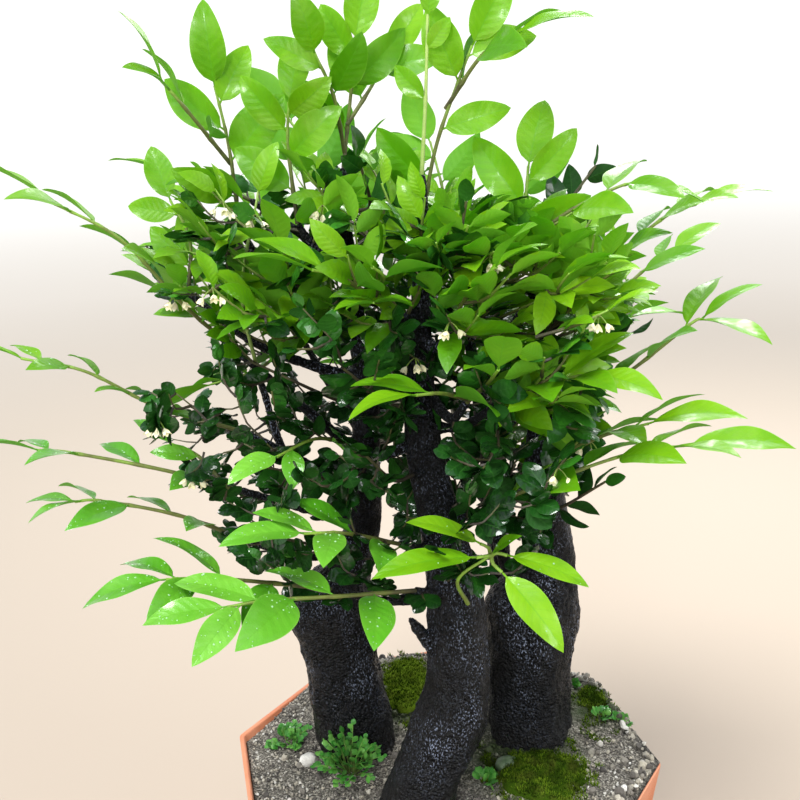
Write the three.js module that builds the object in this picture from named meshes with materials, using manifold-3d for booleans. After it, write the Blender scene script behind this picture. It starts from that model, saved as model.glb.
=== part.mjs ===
// A bonsai of three thick black-barked trunks in an octagonal clay pot filled with grit.
// Millimetres, +Z up, +X right, +Y away from the viewer. The origin is the middle of the pot's underside.
import * as THREE from "three";
import { mergeVertices } from "three/addons/utils/BufferGeometryUtils.js";
import Module from "manifold-3d";

const wasm = await Module();
wasm.setup();

// Driving dimensions
const POT_ACROSS = 260; // over the corners of the rim
const POT_FOOT_ACROSS = 212; // over the corners of the underside
const POT_HEIGHT = 140;
const POT_WALL = 3.2;
const POT_FLOOR = 4.5;
const POT_SIDES = 8;
const POT_TURN = THREE.MathUtils.degToRad(-8);
const DRAIN_HOLES = 4;
const DRAIN_RADIUS = 6;
const DRAIN_OFFSET = 52; // from the middle of the pot
const SEAT_GAP = 0.35; // between two pieces that touch
const BLADE_THICK = 0.7;
const SEEDLING_LEAF = 9; // a leaf shorter than this has one row of points fewer
const TWIG_SIDES = 4;
const STUB_SIDES = 5;
const FLATNESS = 0.1; // points closer than this to a flat face are left out
const CROSSING = 1e-6; // cubic millimetres that two pieces may share

// Colours
const CLAY = { color: 0xd9845a, roughness: 0.75 };
const GRIT = { color: 0x7d766c, roughness: 0.95 };
const BARK = { color: 0x17161a, roughness: 0.5 };
const YOUNG_LEAF = { color: 0x4fae1e, roughness: 0.4 };
const OLD_LEAF = { color: 0x1f5a1c, roughness: 0.3 };
const MOSS = { color: 0x55801c, roughness: 0.95 };
const SEEDLING = { color: 0x3fa52a, roughness: 0.55 };
const STONE = { color: 0x9aa38f, roughness: 0.85 };

// A repeatable draw from 0 to 1 for three whole numbers.
function draw(a, b, c) {
  const s = Math.sin(a * 127.1 + b * 311.7 + c * 74.7) * 43758.5453;
  return s - Math.floor(s);
}

// A closed surface, given as points and triangles, as a solid.
function solidFrom(points, triangles) {
  const made = new wasm.Manifold(
    new wasm.Mesh({
      numProp: 3,
      vertProperties: new Float32Array(points.flatMap((p) => [p.x, p.y, p.z])),
      triVerts: new Uint32Array(triangles.flat()),
    }),
  );
  if (made.volume() <= 0) throw new Error("a surface is inside out");
  return made;
}

// A three.js geometry as a solid: its shared points merged, so that only position is left.
function solidOf(geometry) {
  const bare = geometry.clone();
  bare.deleteAttribute("normal");
  bare.deleteAttribute("uv");
  const merged = mergeVertices(bare, 1e-4);
  return new wasm.Manifold(
    new wasm.Mesh({
      numProp: 3,
      vertProperties: new Float32Array(merged.attributes.position.array),
      triVerts: new Uint32Array(merged.index.array),
    }),
  );
}

// A closed body through rings of points, each ring counter-clockwise seen from the last ring's side.
function loft(rings) {
  const sides = rings[0].length;
  const points = rings.flat();
  const triangles = [];
  for (let r = 0; r < rings.length - 1; r++) {
    for (let i = 0; i < sides; i++) {
      const a = r * sides + i;
      const b = r * sides + ((i + 1) % sides);
      triangles.push([a, b, b + sides], [a, b + sides, a + sides]);
    }
  }
  const last = (rings.length - 1) * sides;
  for (let i = 1; i < sides - 1; i++) {
    triangles.push([0, i + 1, i], [last, last + i, last + i + 1]);
  }
  return solidFrom(points, triangles);
}

// A point on a smooth curve through a path of points, and the direction there.
function curveOf(path) {
  const points = path.map((p) => new THREE.Vector3(...p));
  return new THREE.CatmullRomCurve3(points, false, "catmullrom", 0.5);
}

function directionAt(curve, u) {
  const ahead = curve.getPoint(Math.min(1, u + 0.01));
  return ahead.sub(curve.getPoint(Math.max(0, u - 0.01))).normalize();
}

// A tapered round stem along a curve, in straight steps. grow makes it thicker and longer by that much.
function stemSolid(path, startRadius, endRadius, sides, grow = 0, steps = path.length) {
  const curve = curveOf(path);
  const reference = new THREE.Vector3(0.31, 0.83, 0.47);
  const rings = [];
  for (let k = 0; k <= steps; k++) {
    const u = k / steps;
    const along = directionAt(curve, u);
    const centre = curve.getPoint(u);
    if (k === 0) centre.addScaledVector(along, -grow);
    if (k === steps) centre.addScaledVector(along, grow);
    const across = new THREE.Vector3().crossVectors(along, reference).normalize();
    const other = new THREE.Vector3().crossVectors(along, across);
    const radius = THREE.MathUtils.lerp(startRadius, endRadius, u) + grow;
    const ring = [];
    for (let i = 0; i < sides; i++) {
      const a = (2 * Math.PI * i) / sides;
      const spoke = across.clone().multiplyScalar(radius * Math.cos(a));
      ring.push(spoke.addScaledVector(other, radius * Math.sin(a)).add(centre));
    }
    rings.push(ring);
  }
  return loft(rings);
}

// A trunk through levels of [height, x, y, radius]. Its flutes deepen towards the root flare.
const TRUNK_SIDES = 10;
const FLUTE_DEPTH = 0.1; // at the foot, as a share of the radius
const FLUTE_HEIGHT = 180; // above the foot, where the flutes end
const FLUTE_TWIST = 0.012; // radians a millimetre
const BARK_LUMPS = 0.1; // between the highest and the lowest, as a share of the radius
const KNOB_HALF = 13; // half a knob's height
const KNOB_FOCUS = 6; // a higher number makes knobs narrower

// How near a point of the bark is to a knob, from 1 at its middle, for a step up and a step round.
function nearness(up, round) {
  return Math.exp(-((up / KNOB_HALF) ** 2)) * Math.exp((Math.cos(round) - 1) * KNOB_FOCUS);
}

function trunkSolid({ levels, flutes, phase, knobs }, grow = 0) {
  const foot = levels[0][0];
  const rings = levels.map(([z, x, y, radius], level) => {
    const depth = FLUTE_DEPTH * Math.max(0, 1 - (z - foot) / FLUTE_HEIGHT);
    const end = level === 0 ? -grow : level === levels.length - 1 ? grow : 0;
    const ring = [];
    for (let i = 0; i < TRUNK_SIDES; i++) {
      const a = (2 * Math.PI * i) / TRUNK_SIDES;
      const lobe = depth * Math.cos(flutes * a + phase + z * FLUTE_TWIST);
      const swell = knobs.reduce((sum, [high, way, size]) => sum + size * nearness(z - high, a - way), 0);
      const lump = BARK_LUMPS * (draw(level, i, flutes) - 0.5);
      const reach = radius * (1 + lobe + lump) + swell + grow;
      ring.push(new THREE.Vector3(x + reach * Math.cos(a), y + reach * Math.sin(a), z + end));
    }
    return ring;
  });
  return loft(rings);
}

// One leaf blade from its axil: rows of points across, from the stalk to the tip, split alike on both
// faces. Each row is [share of the length, share of the half width, points across].
const SMALL_ROWS = [[0, 0, 1], [0.38, 1, 2], [0.74, 0.72, 2], [1, 0, 1]];
const YOUNG_ROWS = [[0, 0, 1], [0.4, 1, 3], [0.76, 0.68, 2], [1, 0, 1]];
const SEEDLING_ROWS = [[0, 0, 1], [0.6, 1, 2], [1, 0, 1]];
const FOLD = 0.16; // how far the sides of a young leaf rise, as a share of the half width

function bladeRows(leaf) {
  if (leaf.length < SEEDLING_LEAF) return SEEDLING_ROWS;
  return leaf.young ? YOUNG_ROWS : SMALL_ROWS;
}

function bladeSolid(leaf, grow = 0) {
  const side = new THREE.Vector3().crossVectors(leaf.normal, leaf.along);
  const rows = bladeRows(leaf).map(([t, share, count]) => {
    const rise = leaf.length * (leaf.lift * t - leaf.arch * t * t);
    const middle = leaf.base.clone().addScaledVector(leaf.along, leaf.length * t + (t === 1 ? grow : 0));
    middle.addScaledVector(leaf.normal, rise);
    if (count === 1) return [middle];
    const half = leaf.halfWidth * share + grow;
    const offsets = count === 2 ? [-1, 1] : [-1, 0, 1];
    return offsets.map((o) => {
      const point = middle.clone().addScaledVector(side, o * half);
      return count === 3 ? point.addScaledVector(leaf.normal, Math.abs(o) * FOLD * half) : point;
    });
  });
  const top = rows.flat();
  const count = top.length;
  const shift = BLADE_THICK / 2 + grow;
  const points = [
    ...top.map((p) => p.clone().addScaledVector(leaf.normal, shift)),
    ...top.map((p) => p.clone().addScaledVector(leaf.normal, -shift)),
  ];
  const faces = [];
  const left = [];
  const right = [];
  let start = 0;
  rows.forEach((row, r) => {
    left.push(start);
    right.push(start + row.length - 1);
    const next = start + row.length;
    const after = rows[r + 1];
    let i = 0;
    let j = 0;
    while (after && (i < row.length - 1 || j < after.length - 1)) {
      const here = (i + 1) * (after.length - 1);
      const there = (j + 1) * (row.length - 1);
      if (i < row.length - 1 && (j === after.length - 1 || here <= there)) {
        faces.push([start + i, next + j, start + i + 1]);
        i++;
      } else {
        faces.push([start + i, next + j, next + j + 1]);
        j++;
      }
    }
    start = next;
  });
  const rim = [...left, ...right.slice(1, -1).reverse()];
  const triangles = faces.flatMap(([a, b, c]) => [[a, b, c], [a + count, c + count, b + count]]);
  rim.forEach((a, k) => {
    const b = rim[(k + 1) % rim.length];
    triangles.push([b, a, a + count], [b, a + count, b + count]);
  });
  return solidFrom(points, triangles);
}

// The leaves of one stem, in two ranks that alternate. `attempt` turns a leaf that would cross another.
const ATTEMPTS = 6;
const ATTEMPT_LIFT = [0, 0.3, -0.3, 0.6, -0.55, 0.15];
const ATTEMPT_LENGTH = [1, 0.97, 0.94, 0.9, 0.86, 0.75];
const FIRST_LEAF = 0.12; // places along the stem, as shares of it
const LAST_LEAF = 0.97;
const TIP_LEAF = 0.985;
const SPREAD = 1.02; // a leaf's angle from its stem in radians, which gets less towards the tip
const SPREAD_LESS = 0.38;
const SPREAD_DRAW = 0.3;
const TIP_SPREAD = 0.12;
const SPIRAL = 2.4; // from one leaf to the next round a stem, in radians
const CLIMB = 0.08; // how much a leaf points out of its stem's face
const CLIMB_DRAW = 0.3;
const ROLL = 0.7; // the widest turn of a leaf about its own length, both ways together
const SMALLEST = 0.72; // the first leaves' length, as a share of the longest
const YOUNG_WIDTH = 0.22; // half the width, as a share of the length
const OLD_WIDTH = 0.27;
const LIFT = 0.12; // how a leaf first rises and then arches over, as shares of the length
const ARCH = 0.16;
const LENGTH_DRAW = 0.2;

function leafAt(stem, seed, index, attempt) {
  const curve = stem.curve;
  const terminal = index === stem.leaves - 1;
  const first = stem.bare ?? FIRST_LEAF;
  const u = terminal ? TIP_LEAF : first + (LAST_LEAF - first) * ((index + 0.4) / (stem.leaves - 1));
  const stemWay = directionAt(curve, u);
  const turn = stem.spiral ? index * SPIRAL + 3 * draw(seed, index, 1) : 0;
  const face = new THREE.Vector3(...stem.face);
  face.addScaledVector(stemWay, -face.dot(stemWay)).normalize().applyAxisAngle(stemWay, turn);
  const rank = index % 2 ? 1 : -1;
  const spread = new THREE.Vector3().crossVectors(stemWay, face).multiplyScalar(rank);
  const open = SPREAD - SPREAD_LESS * u + SPREAD_DRAW * (draw(seed, index, 2) - 0.5);
  const angle = terminal ? TIP_SPREAD * rank : open;
  const along = stemWay.multiplyScalar(Math.cos(angle)).addScaledVector(spread, Math.sin(angle));
  const climb = CLIMB + CLIMB_DRAW * (draw(seed, index, 3) - 0.5) + ATTEMPT_LIFT[attempt];
  along.addScaledVector(face, climb).normalize();
  const normal = face.addScaledVector(along, -face.dot(along)).normalize();
  normal.applyAxisAngle(along, ROLL * (draw(seed, index, 4) - 0.5));
  const middling = SMALLEST + (1 - SMALLEST) * Math.sin(Math.PI * Math.min(1, 0.25 + 0.75 * u));
  const grade = terminal && stem.young ? 1 : middling;
  const drawn = 1 + LENGTH_DRAW * (draw(seed, index, 5) - 0.5);
  const length = stem.size * grade * drawn * ATTEMPT_LENGTH[attempt];
  return {
    base: curve.getPoint(u),
    along,
    normal,
    length,
    halfWidth: length * (stem.young ? YOUNG_WIDTH : OLD_WIDTH),
    lift: LIFT,
    arch: ARCH * (1 + draw(seed, index, 6)),
    young: stem.young,
  };
}

// Trunks: [height, x, y, radius] from the foot in the grit up to where the top shoot begins, the
// root flutes, knobs of bark as [height, way round, size], and stubs as paths with their two radii.
const TRUNKS = [
  {
    node: "trunk_left",
    flutes: 4,
    phase: 0.6,
    levels: [
      [98, -53, 12, 20], [130, -53, 12, 26], [145, -54, 12, 25], [172, -57, 12, 23.5],
      [200, -61, 12, 24], [218, -63, 12, 25.5], [234, -66, 12, 26], [247, -62, 13, 20],
      [260, -52, 14, 13.5], [278, -45, 14, 11], [320, -41, 12, 9], [359, -38, 10, 7.6],
      [430, -44, 8, 4.4], [475, -46, 9, 2.8],
    ],
    knobs: [[226, 3.2, 2], [238, 5.1, 4]],
    stubs: [{ path: [[-72, 8, 236], [-78, 4, 252], [-86, 2, 258]], radii: [5, 2.5] }],
  },
  {
    node: "trunk_middle",
    flutes: 5,
    phase: 2.1,
    levels: [
      [98, -16, -53, 18], [128, -15, -53, 24.5], [143, -14, -53, 22], [157, -10, -52, 20],
      [172, -4, -51, 19], [196, 5, -49, 19.5], [221, 10, -46, 17], [247, 9, -42, 16],
      [264, 9, -38, 15], [290, 4, -30, 12.5], [342, -6, -15, 10], [400, -6, -18, 6.2],
      [450, -4, -20, 3.8], [480, -3, -20, 2.6],
    ],
    knobs: [[252, 5.0, 3], [182, 0.2, 3]],
    stubs: [{ path: [[2, -46, 227], [-9, -50, 243], [-16, -53, 254]], radii: [4.6, 2] }],
  },
  {
    node: "trunk_right",
    flutes: 5,
    phase: 4.0,
    levels: [
      [98, 55, 16, 21], [128, 55, 17, 28], [143, 55, 17, 26.5], [167, 54, 18, 25.5],
      [192, 54, 19, 25.5], [213, 56, 21, 27], [232, 57, 22, 26], [245, 62, 23, 19.5],
      [258, 66, 24, 15.5], [291, 64, 26, 13], [330, 64, 28, 9.5], [363, 65, 30, 6.8],
      [420, 60, 25, 4.2], [448, 57, 20, 2.8],
    ],
    knobs: [[226, 0.1, 2], [237, 3.7, 6]],
    stubs: [{ path: [[50, 22, 238], [42, 20, 250], [38, 18, 262]], radii: [6, 3.5] }],
  },
  {
    node: "stem_back",
    flutes: 3,
    phase: 1.0,
    levels: [
      [98, 40, 68, 9], [140, 40, 70, 9], [175, 40, 70, 7.5], [238, 40, 60, 6.6],
      [320, 31, 51, 5.2], [400, 20, 46, 3],
    ],
    knobs: [],
    stubs: [],
  },
];

// Leafy sprays. Each starts at the end of a woody branch of its holder, and each stem is a path with
// its number of leaves, the longest leaf's size and the way that the leaves' upper faces look.
const UP = [0, -0.35, 1];
const OUT = [0, -1, 0.3];
const LEVEL = [0, -0.02, 1];
const BACK = [0, 0.35, 1];
const SPRAYS = [
  {
    node: "spray_left_high", holder: "trunk_left",
    branch: [[-42, 12, 325], [-85, 4, 368], [-116, 0, 399]],
    stems: [
      {
        path: [[-116, 0, 399], [-132, -20, 423], [-156, -35, 458], [-185, -46, 478]],
        leaves: 8, size: 50, face: LEVEL,
      },
    ],
  },
  {
    node: "spray_left_crown", holder: "trunk_left",
    branch: [[-39, 10, 370], [-95, 8, 392], [-132, 0, 424]],
    stems: [
      { path: [[-132, 0, 424], [-130, 5, 453], [-140, 10, 474]], leaves: 4, size: 34, face: OUT },
    ],
  },
  {
    node: "spray_left_top", holder: "trunk_left",
    branch: [[-44, 8, 430], [-70, 18, 452], [-98, 20, 472]],
    stems: [
      { path: [[-98, 20, 472], [-123, 25, 484], [-145, 28, 488]], leaves: 3, size: 38, face: LEVEL },
    ],
  },
  {
    node: "spray_left_middle", holder: "trunk_left",
    branch: [[-42, 13, 300], [-78, 6, 326], [-108, -8, 348]],
    stems: [
      {
        path: [[-108, -8, 348], [-147, -25, 367], [-181, -35, 390], [-212, -40, 399]],
        leaves: 7, size: 31, face: LEVEL,
      },
    ],
  },
  {
    node: "spray_left_low", holder: "trunk_left",
    branch: [[-45, 14, 284], [-78, -5, 301], [-106, -28, 320]],
    stems: [
      {
        path: [[-106, -28, 320], [-141, -45, 338], [-185, -58, 353], [-200, -62, 356]],
        leaves: 5, size: 34, face: LEVEL,
      },
      {
        path: [[-112, -32, 323], [-130, -20, 338], [-146, -15, 344]],
        leaves: 2, size: 26, face: UP,
      },
    ],
  },
  {
    node: "spray_left_foot", holder: "trunk_left",
    branch: [[-49, 14, 267], [-80, 2, 268], [-107, -18, 287]],
    stems: [
      {
        path: [[-107, -18, 287], [-139, -35, 309], [-177, -45, 322], [-190, -48, 323]],
        leaves: 6, size: 36, face: LEVEL,
      },
    ],
  },
  {
    node: "spray_front_left_low", holder: "trunk_middle",
    branch: [[9, -38, 266], [-26, -47, 262], [-57, -52, 272]],
    stems: [
      {
        path: [[-57, -52, 272], [-99, -80, 291], [-121, -90, 297], [-132, -95, 299]],
        leaves: 5, size: 41, face: UP,
      },
    ],
  },
  {
    node: "spray_front_left", holder: "trunk_middle",
    branch: [[6, -34, 278], [0, -50, 268], [-12, -62, 275]],
    stems: [
      {
        path: [[-12, -62, 275], [-48, -90, 286], [-81, -110, 294], [-98, -118, 295]],
        leaves: 6, size: 45, face: UP,
      },
    ],
  },
  {
    node: "spray_front_left_high", holder: "trunk_middle",
    branch: [[3, -28, 296], [-8, -42, 290], [-20, -50, 296]],
    stems: [
      { path: [[-20, -50, 296], [-45, -78, 314], [-64, -92, 320]], leaves: 5, size: 39, face: UP },
    ],
  },
  {
    node: "spray_front_middle", holder: "trunk_middle",
    branch: [[-6, -15, 344], [-30, -10, 332], [-50, -14, 342]],
    stems: [
      {
        path: [[-50, -14, 342], [-62, -48, 354], [-78, -70, 352]],
        leaves: 4, size: 28, face: [0, -0.8, 0.7],
      },
    ],
  },
  {
    node: "sprouts_front", holder: "trunk_middle",
    branch: [[12, -40, 256], [13, -50, 260], [15, -60, 266]],
    stems: [
      { path: [[15, -60, 266], [10, -73, 286], [27, -82, 303]], leaves: 1, size: 22, face: UP },
      { path: [[27, -81, 302], [24, -84, 303], [19, -87, 303.5]], leaves: 1, size: 54, face: UP },
      { path: [[26, -79, 301], [25, -81, 306], [21, -83, 309]], leaves: 1, size: 38, face: UP },
      { path: [[26, -81, 302], [29, -83, 304], [34, -84, 303]], leaves: 1, size: 46, face: UP },
      { path: [[26, -81, 302], [27, -85, 299], [31, -88, 296]], leaves: 1, size: 44, face: UP },
    ],
  },
  {
    node: "spray_right_long", holder: "trunk_middle",
    branch: [[0, -26, 306], [8, -38, 303], [16, -45, 309]],
    stems: [
      {
        path: [[16, -45, 309], [56, -60, 332], [96, -69, 349], [122, -74, 354]],
        leaves: 7, size: 48, face: LEVEL,
      },
    ],
  },
  {
    node: "spray_right_middle", holder: "trunk_right",
    branch: [[64, 27, 305], [68, 0, 314], [70, -18, 334]],
    stems: [
      { path: [[70, -18, 334], [92, -34, 349], [110, -42, 356]], leaves: 4, size: 46, face: LEVEL },
    ],
  },
  {
    node: "spray_right_front", holder: "trunk_middle",
    branch: [[-6, -15, 350], [15, -24, 352], [34, -40, 369]],
    stems: [
      { path: [[34, -40, 369], [56, -66, 385], [74, -80, 392]], leaves: 5, size: 43, face: UP },
    ],
  },
  {
    node: "spray_right_high", holder: "trunk_right",
    branch: [[65, 30, 345], [76, 16, 344], [82, 0, 358]],
    stems: [
      {
        path: [[82, 0, 358], [107, -10, 377], [136, -15, 402], [142, -16, 405]],
        leaves: 5, size: 49, face: LEVEL,
      },
    ],
  },
  {
    node: "spray_right_crown", holder: "trunk_right",
    branch: [[61, 26, 402], [68, 18, 396], [74, 10, 404]],
    stems: [
      {
        path: [[74, 10, 404], [103, 10, 437], [128, 6, 458], [142, 4, 463]],
        leaves: 7, size: 41, face: LEVEL,
      },
    ],
  },
  {
    node: "spray_top_right", holder: "trunk_right",
    branch: [[60, 25, 418], [42, 12, 396], [28, 2, 406]],
    stems: [
      {
        path: [[28, 2, 406], [44, -5, 445], [50, -8, 468], [52, -8, 486]],
        leaves: 5, size: 44, face: OUT,
      },
      {
        path: [[41, -4, 436], [66, -15, 459], [92, -20, 473], [104, -24, 477]],
        leaves: 5, size: 44, face: UP,
      },
    ],
  },
  {
    node: "spray_top_middle", holder: "trunk_middle",
    branch: [[-4, -19, 440], [-8, -8, 438], [-6, 0, 446]],
    stems: [
      {
        path: [[-6, 0, 446], [4, -4, 495], [18, -8, 532], [24, -8, 546]],
        leaves: 5, size: 42, face: OUT,
      },
      { path: [[10, -5, 516], [28, -18, 540], [44, -24, 549]], leaves: 4, size: 44, face: UP },
    ],
  },
  {
    node: "spray_top_left", holder: "trunk_left",
    branch: [[-46, 9, 470], [-46, 9, 480], [-45, 9, 488]],
    stems: [
      { path: [[-45, 9, 488], [-39, 10, 528], [-36, 9, 552]], leaves: 4, size: 38, face: OUT },
      { path: [[-44, 9, 496], [-47, -6, 524], [-55, -13, 545]], leaves: 4, size: 38, face: OUT },
      { path: [[-42, 9, 510], [-28, 14, 530], [-20, 16, 544]], leaves: 3, size: 38, face: OUT },
    ],
  },
  {
    node: "spray_far_top_left", holder: "trunk_left",
    branch: [[-43, 8, 418], [-80, 12, 422], [-103, 10, 456]],
    stems: [
      { path: [[-103, 10, 456], [-105, 6, 500], [-110, 5, 532]], leaves: 5, size: 44, face: OUT },
      { path: [[-105, 7, 492], [-122, -12, 520], [-132, -18, 534]], leaves: 4, size: 38, face: UP },
    ],
  },
  {
    node: "spray_inner_top_left", holder: "trunk_left",
    branch: [[-45, 8, 448], [-60, 0, 446], [-70, -2, 460]],
    stems: [
      { path: [[-70, -2, 460], [-72, -5, 500], [-70, -8, 522]], leaves: 5, size: 40, face: OUT },
    ],
  },
  {
    node: "stem_pale_middle", holder: "trunk_middle",
    branch: [[-4, -20, 460], [-3, -20, 475], [-3, -20, 484]],
    stems: [
      {
        path: [[-3, -20, 484], [0, -20, 522], [2, -20, 560]],
        leaves: 3, size: 24, face: OUT, bare: 0.35,
      },
    ],
  },
  {
    node: "stem_pale_left", holder: "trunk_left",
    branch: [[-43, 14, 310], [-84, 16, 322], [-98, 10, 372]],
    stems: [
      {
        path: [[-98, 10, 372], [-101, -8, 425], [-88, -12, 478]],
        leaves: 3, size: 30, face: OUT, bare: 0.3,
      },
    ],
  },
  {
    node: "spray_middle_right", holder: "trunk_middle",
    branch: [[-6, -18, 402], [2, -30, 396], [9, -40, 407]],
    stems: [
      { path: [[9, -40, 407], [18, -66, 430], [30, -84, 444]], leaves: 4, size: 38, face: UP },
    ],
  },
  {
    node: "spray_middle_low", holder: "trunk_middle",
    branch: [[-6, -16, 374], [8, -36, 360], [17, -50, 372]],
    stems: [
      { path: [[17, -50, 372], [26, -76, 388], [30, -92, 398]], leaves: 3, size: 37, face: LEVEL },
      { path: [[17, -52, 374], [4, -78, 384], [-8, -92, 387]], leaves: 3, size: 44, face: UP },
    ],
  },
  {
    node: "spray_middle_left", holder: "trunk_middle",
    branch: [[-5, -18, 416], [-16, -34, 412], [-25, -49, 424]],
    stems: [
      { path: [[-25, -49, 424], [-42, -72, 440], [-54, -82, 445]], leaves: 3, size: 43, face: UP },
      { path: [[-27, -54, 428], [-22, -76, 440], [-26, -88, 446]], leaves: 2, size: 34, face: UP },
    ],
  },
  {
    node: "spray_back_left", holder: "trunk_left",
    branch: [[-41, 12, 338], [-62, 50, 358], [-82, 74, 384]],
    stems: [
      {
        path: [[-82, 74, 384], [-112, 98, 410], [-142, 112, 424]],
        leaves: 5, size: 42, face: BACK,
      },
      { path: [[-84, 76, 386], [-108, 72, 366], [-138, 64, 358]], leaves: 5, size: 36, face: BACK },
      { path: [[-88, 80, 390], [-94, 100, 420], [-98, 112, 448]], leaves: 4, size: 36, face: [0, 1, 0.6] },
    ],
  },
  {
    node: "spray_back_top", holder: "stem_back",
    branch: [[20, 46, 396], [18, 50, 410], [16, 56, 424]],
    stems: [
      {
        path: [[16, 56, 424], [10, 74, 466], [2, 88, 500]],
        leaves: 5, size: 42, face: [0, 1, 0.3],
      },
      { path: [[14, 62, 438], [38, 88, 452], [60, 102, 466]], leaves: 4, size: 36, face: [0, 1, 0.6] },
      { path: [[14, 64, 442], [-18, 90, 450], [-44, 102, 456]], leaves: 4, size: 36, face: [0, 1, 0.6] },
    ],
  },
  {
    node: "spray_back_right", holder: "stem_back",
    branch: [[33, 53, 300], [54, 74, 330], [74, 88, 352]],
    stems: [
      {
        path: [[74, 88, 352], [102, 104, 372], [132, 116, 384]],
        leaves: 5, size: 42, face: BACK,
      },
      { path: [[84, 94, 362], [94, 98, 394], [100, 98, 424]], leaves: 4, size: 36, face: [0.5, 1, 0.6] },
      { path: [[78, 90, 354], [66, 112, 336], [60, 124, 322]], leaves: 3, size: 34, face: BACK },
    ],
  },
  {
    node: "spray_back_low", holder: "stem_back",
    branch: [[36, 56, 275], [8, 80, 300], [-10, 92, 325]],
    stems: [
      {
        path: [[-10, 92, 325], [-36, 112, 345], [-62, 124, 356]],
        leaves: 4, size: 38, face: BACK,
      },
      { path: [[-14, 96, 330], [10, 110, 346], [30, 120, 362]], leaves: 4, size: 34, face: [0, 1, 0.8] },
    ],
  },
  {
    node: "spray_back_side", holder: "trunk_right",
    branch: [[65, 30, 366], [84, 44, 380], [100, 54, 396]],
    stems: [
      { path: [[100, 54, 396], [126, 68, 418], [148, 78, 430]], leaves: 4, size: 40, face: LEVEL },
      { path: [[104, 58, 400], [112, 82, 418], [116, 100, 428]], leaves: 4, size: 34, face: [1, 0.6, 0.8] },
    ],
  },
  {
    node: "spray_back_crown", holder: "trunk_left",
    branch: [[-45, 8, 452], [-50, 28, 456], [-56, 44, 470]],
    stems: [
      {
        path: [[-56, 44, 470], [-70, 62, 500], [-86, 74, 522]],
        leaves: 4, size: 40, face: [0, 1, 0.4],
      },
      { path: [[-58, 48, 476], [-42, 76, 486], [-34, 92, 494]], leaves: 4, size: 34, face: [0, 1, 0.6] },
    ],
  },
];

// Inner twigs with small dark leaves: where each leaves its holder and where it ends.
const TWIG_LEAVES = 6;
const TWIG_FACE = [0.3, -0.6, 0.7];
const TWIG_SEAT = 0.45; // where a twig leaves its branch, as a share of the way to its middle point
const TWIGS = [
  ["twigs_left_foot", "trunk_left", [-46, 14, 276], [-70, -14, 282], [-98, -38, 300], 19],
  ["twigs_left_low", "trunk_left", [-41, 12, 318], [-62, -16, 322], [-92, -36, 336], 21],
  ["twigs_left_middle", "trunk_left", [-38, 10, 352], [-62, -20, 372], [-94, -32, 392], 22],
  ["twigs_left_high", "trunk_left", [-41, 9, 395], [-58, -22, 412], [-72, -36, 440], 22],
  ["twigs_left_crown", "trunk_left", [-45, 8, 462], [-30, -16, 470], [-34, -34, 494], 22],
  ["twigs_middle_low", "trunk_middle", [-4, -20, 326], [-22, -46, 330], [-34, -72, 352], 21],
  ["twigs_middle", "trunk_middle", [-6, -15, 356], [-26, -40, 372], [-44, -62, 394], 22],
  ["twigs_middle_high", "trunk_middle", [-4, -20, 436], [12, -42, 442], [18, -56, 472], 22],
  ["twigs_right_low", "trunk_right", [64, 26, 288], [72, 0, 296], [92, -22, 318], 21],
  ["twigs_right_middle", "trunk_right", [65, 30, 352], [84, 22, 372], [110, 16, 392], 22],
  ["twigs_right_front", "trunk_right", [63, 28, 380], [64, -6, 400], [78, -28, 424], 22],
  ["twigs_right_high", "trunk_right", [58, 22, 436], [72, 24, 458], [92, 26, 484], 22],
  ["twigs_back_right", "stem_back", [34, 54, 290], [62, 62, 300], [92, 70, 316], 22],
  ["twigs_back_left", "stem_back", [26, 48, 352], [-6, 62, 372], [-34, 76, 402], 23],
];

for (const [node, holder, from, middle, to, size] of TWIGS) {
  const seat = from.map((v, i) => v + TWIG_SEAT * (middle[i] - v));
  SPRAYS.push({
    node,
    holder,
    old: true,
    branch: [from, from.map((v, i) => 0.5 * (v + seat[i])), seat],
    stems: [{ path: [seat, middle, to], leaves: TWIG_LEAVES, size, face: TWIG_FACE, spiral: true }],
  });
}

// Wood: each trunk with its lumps, stubs and branches in one body, and a grown copy that clears it.
const BRANCH_STEPS = 2;
const BRANCH_RADII = [3.4, 2.1];
const TWIG_BRANCH_RADII = [2.4, 1.7];
const YOUNG_STEM_RADII = [1.7, 1];
const OLD_STEM_RADII = [1.3, 1];

function woodSolid(trunk, grow) {
  const parts = [trunkSolid(trunk, grow)];
  trunk.stubs.forEach(({ path, radii }) => parts.push(stemSolid(path, ...radii, STUB_SIDES, grow)));
  for (const spray of SPRAYS.filter((s) => s.holder === trunk.node)) {
    const radii = spray.old ? TWIG_BRANCH_RADII : BRANCH_RADII;
    parts.push(stemSolid(spray.branch, ...radii, TWIG_SIDES, grow, BRANCH_STEPS));
  }
  return wasm.Manifold.union(parts);
}

const wood = new Map(TRUNKS.map((t) => [t.node, woodSolid(t, 0)]));
const woodSpace = wasm.Manifold.union(TRUNKS.map((t) => woodSolid(t, SEAT_GAP)));

// The largest body of a solid, when a cut has left scraps beside it.
function largest(solid) {
  const bodies = solid.decompose();
  return bodies.reduce((best, body) => (body.volume() > best.volume() ? body : best));
}

function boxesMeet(a, b) {
  return [0, 1, 2].every((i) => a.min[i] <= b.max[i] && b.min[i] <= a.max[i]);
}

// Whether a solid runs into any piece of a list.
function crosses(solid, pieces) {
  const box = solid.boundingBox();
  return pieces.some((p) => boxesMeet(box, p.box) && solid.intersect(p.solid).volume() > CROSSING);
}

// First all stems, then the leaves one by one, each turned or left out where it would cross another.
const taken = [...wood].map(([node, solid]) => ({ node, solid, box: solid.boundingBox() }));

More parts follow.
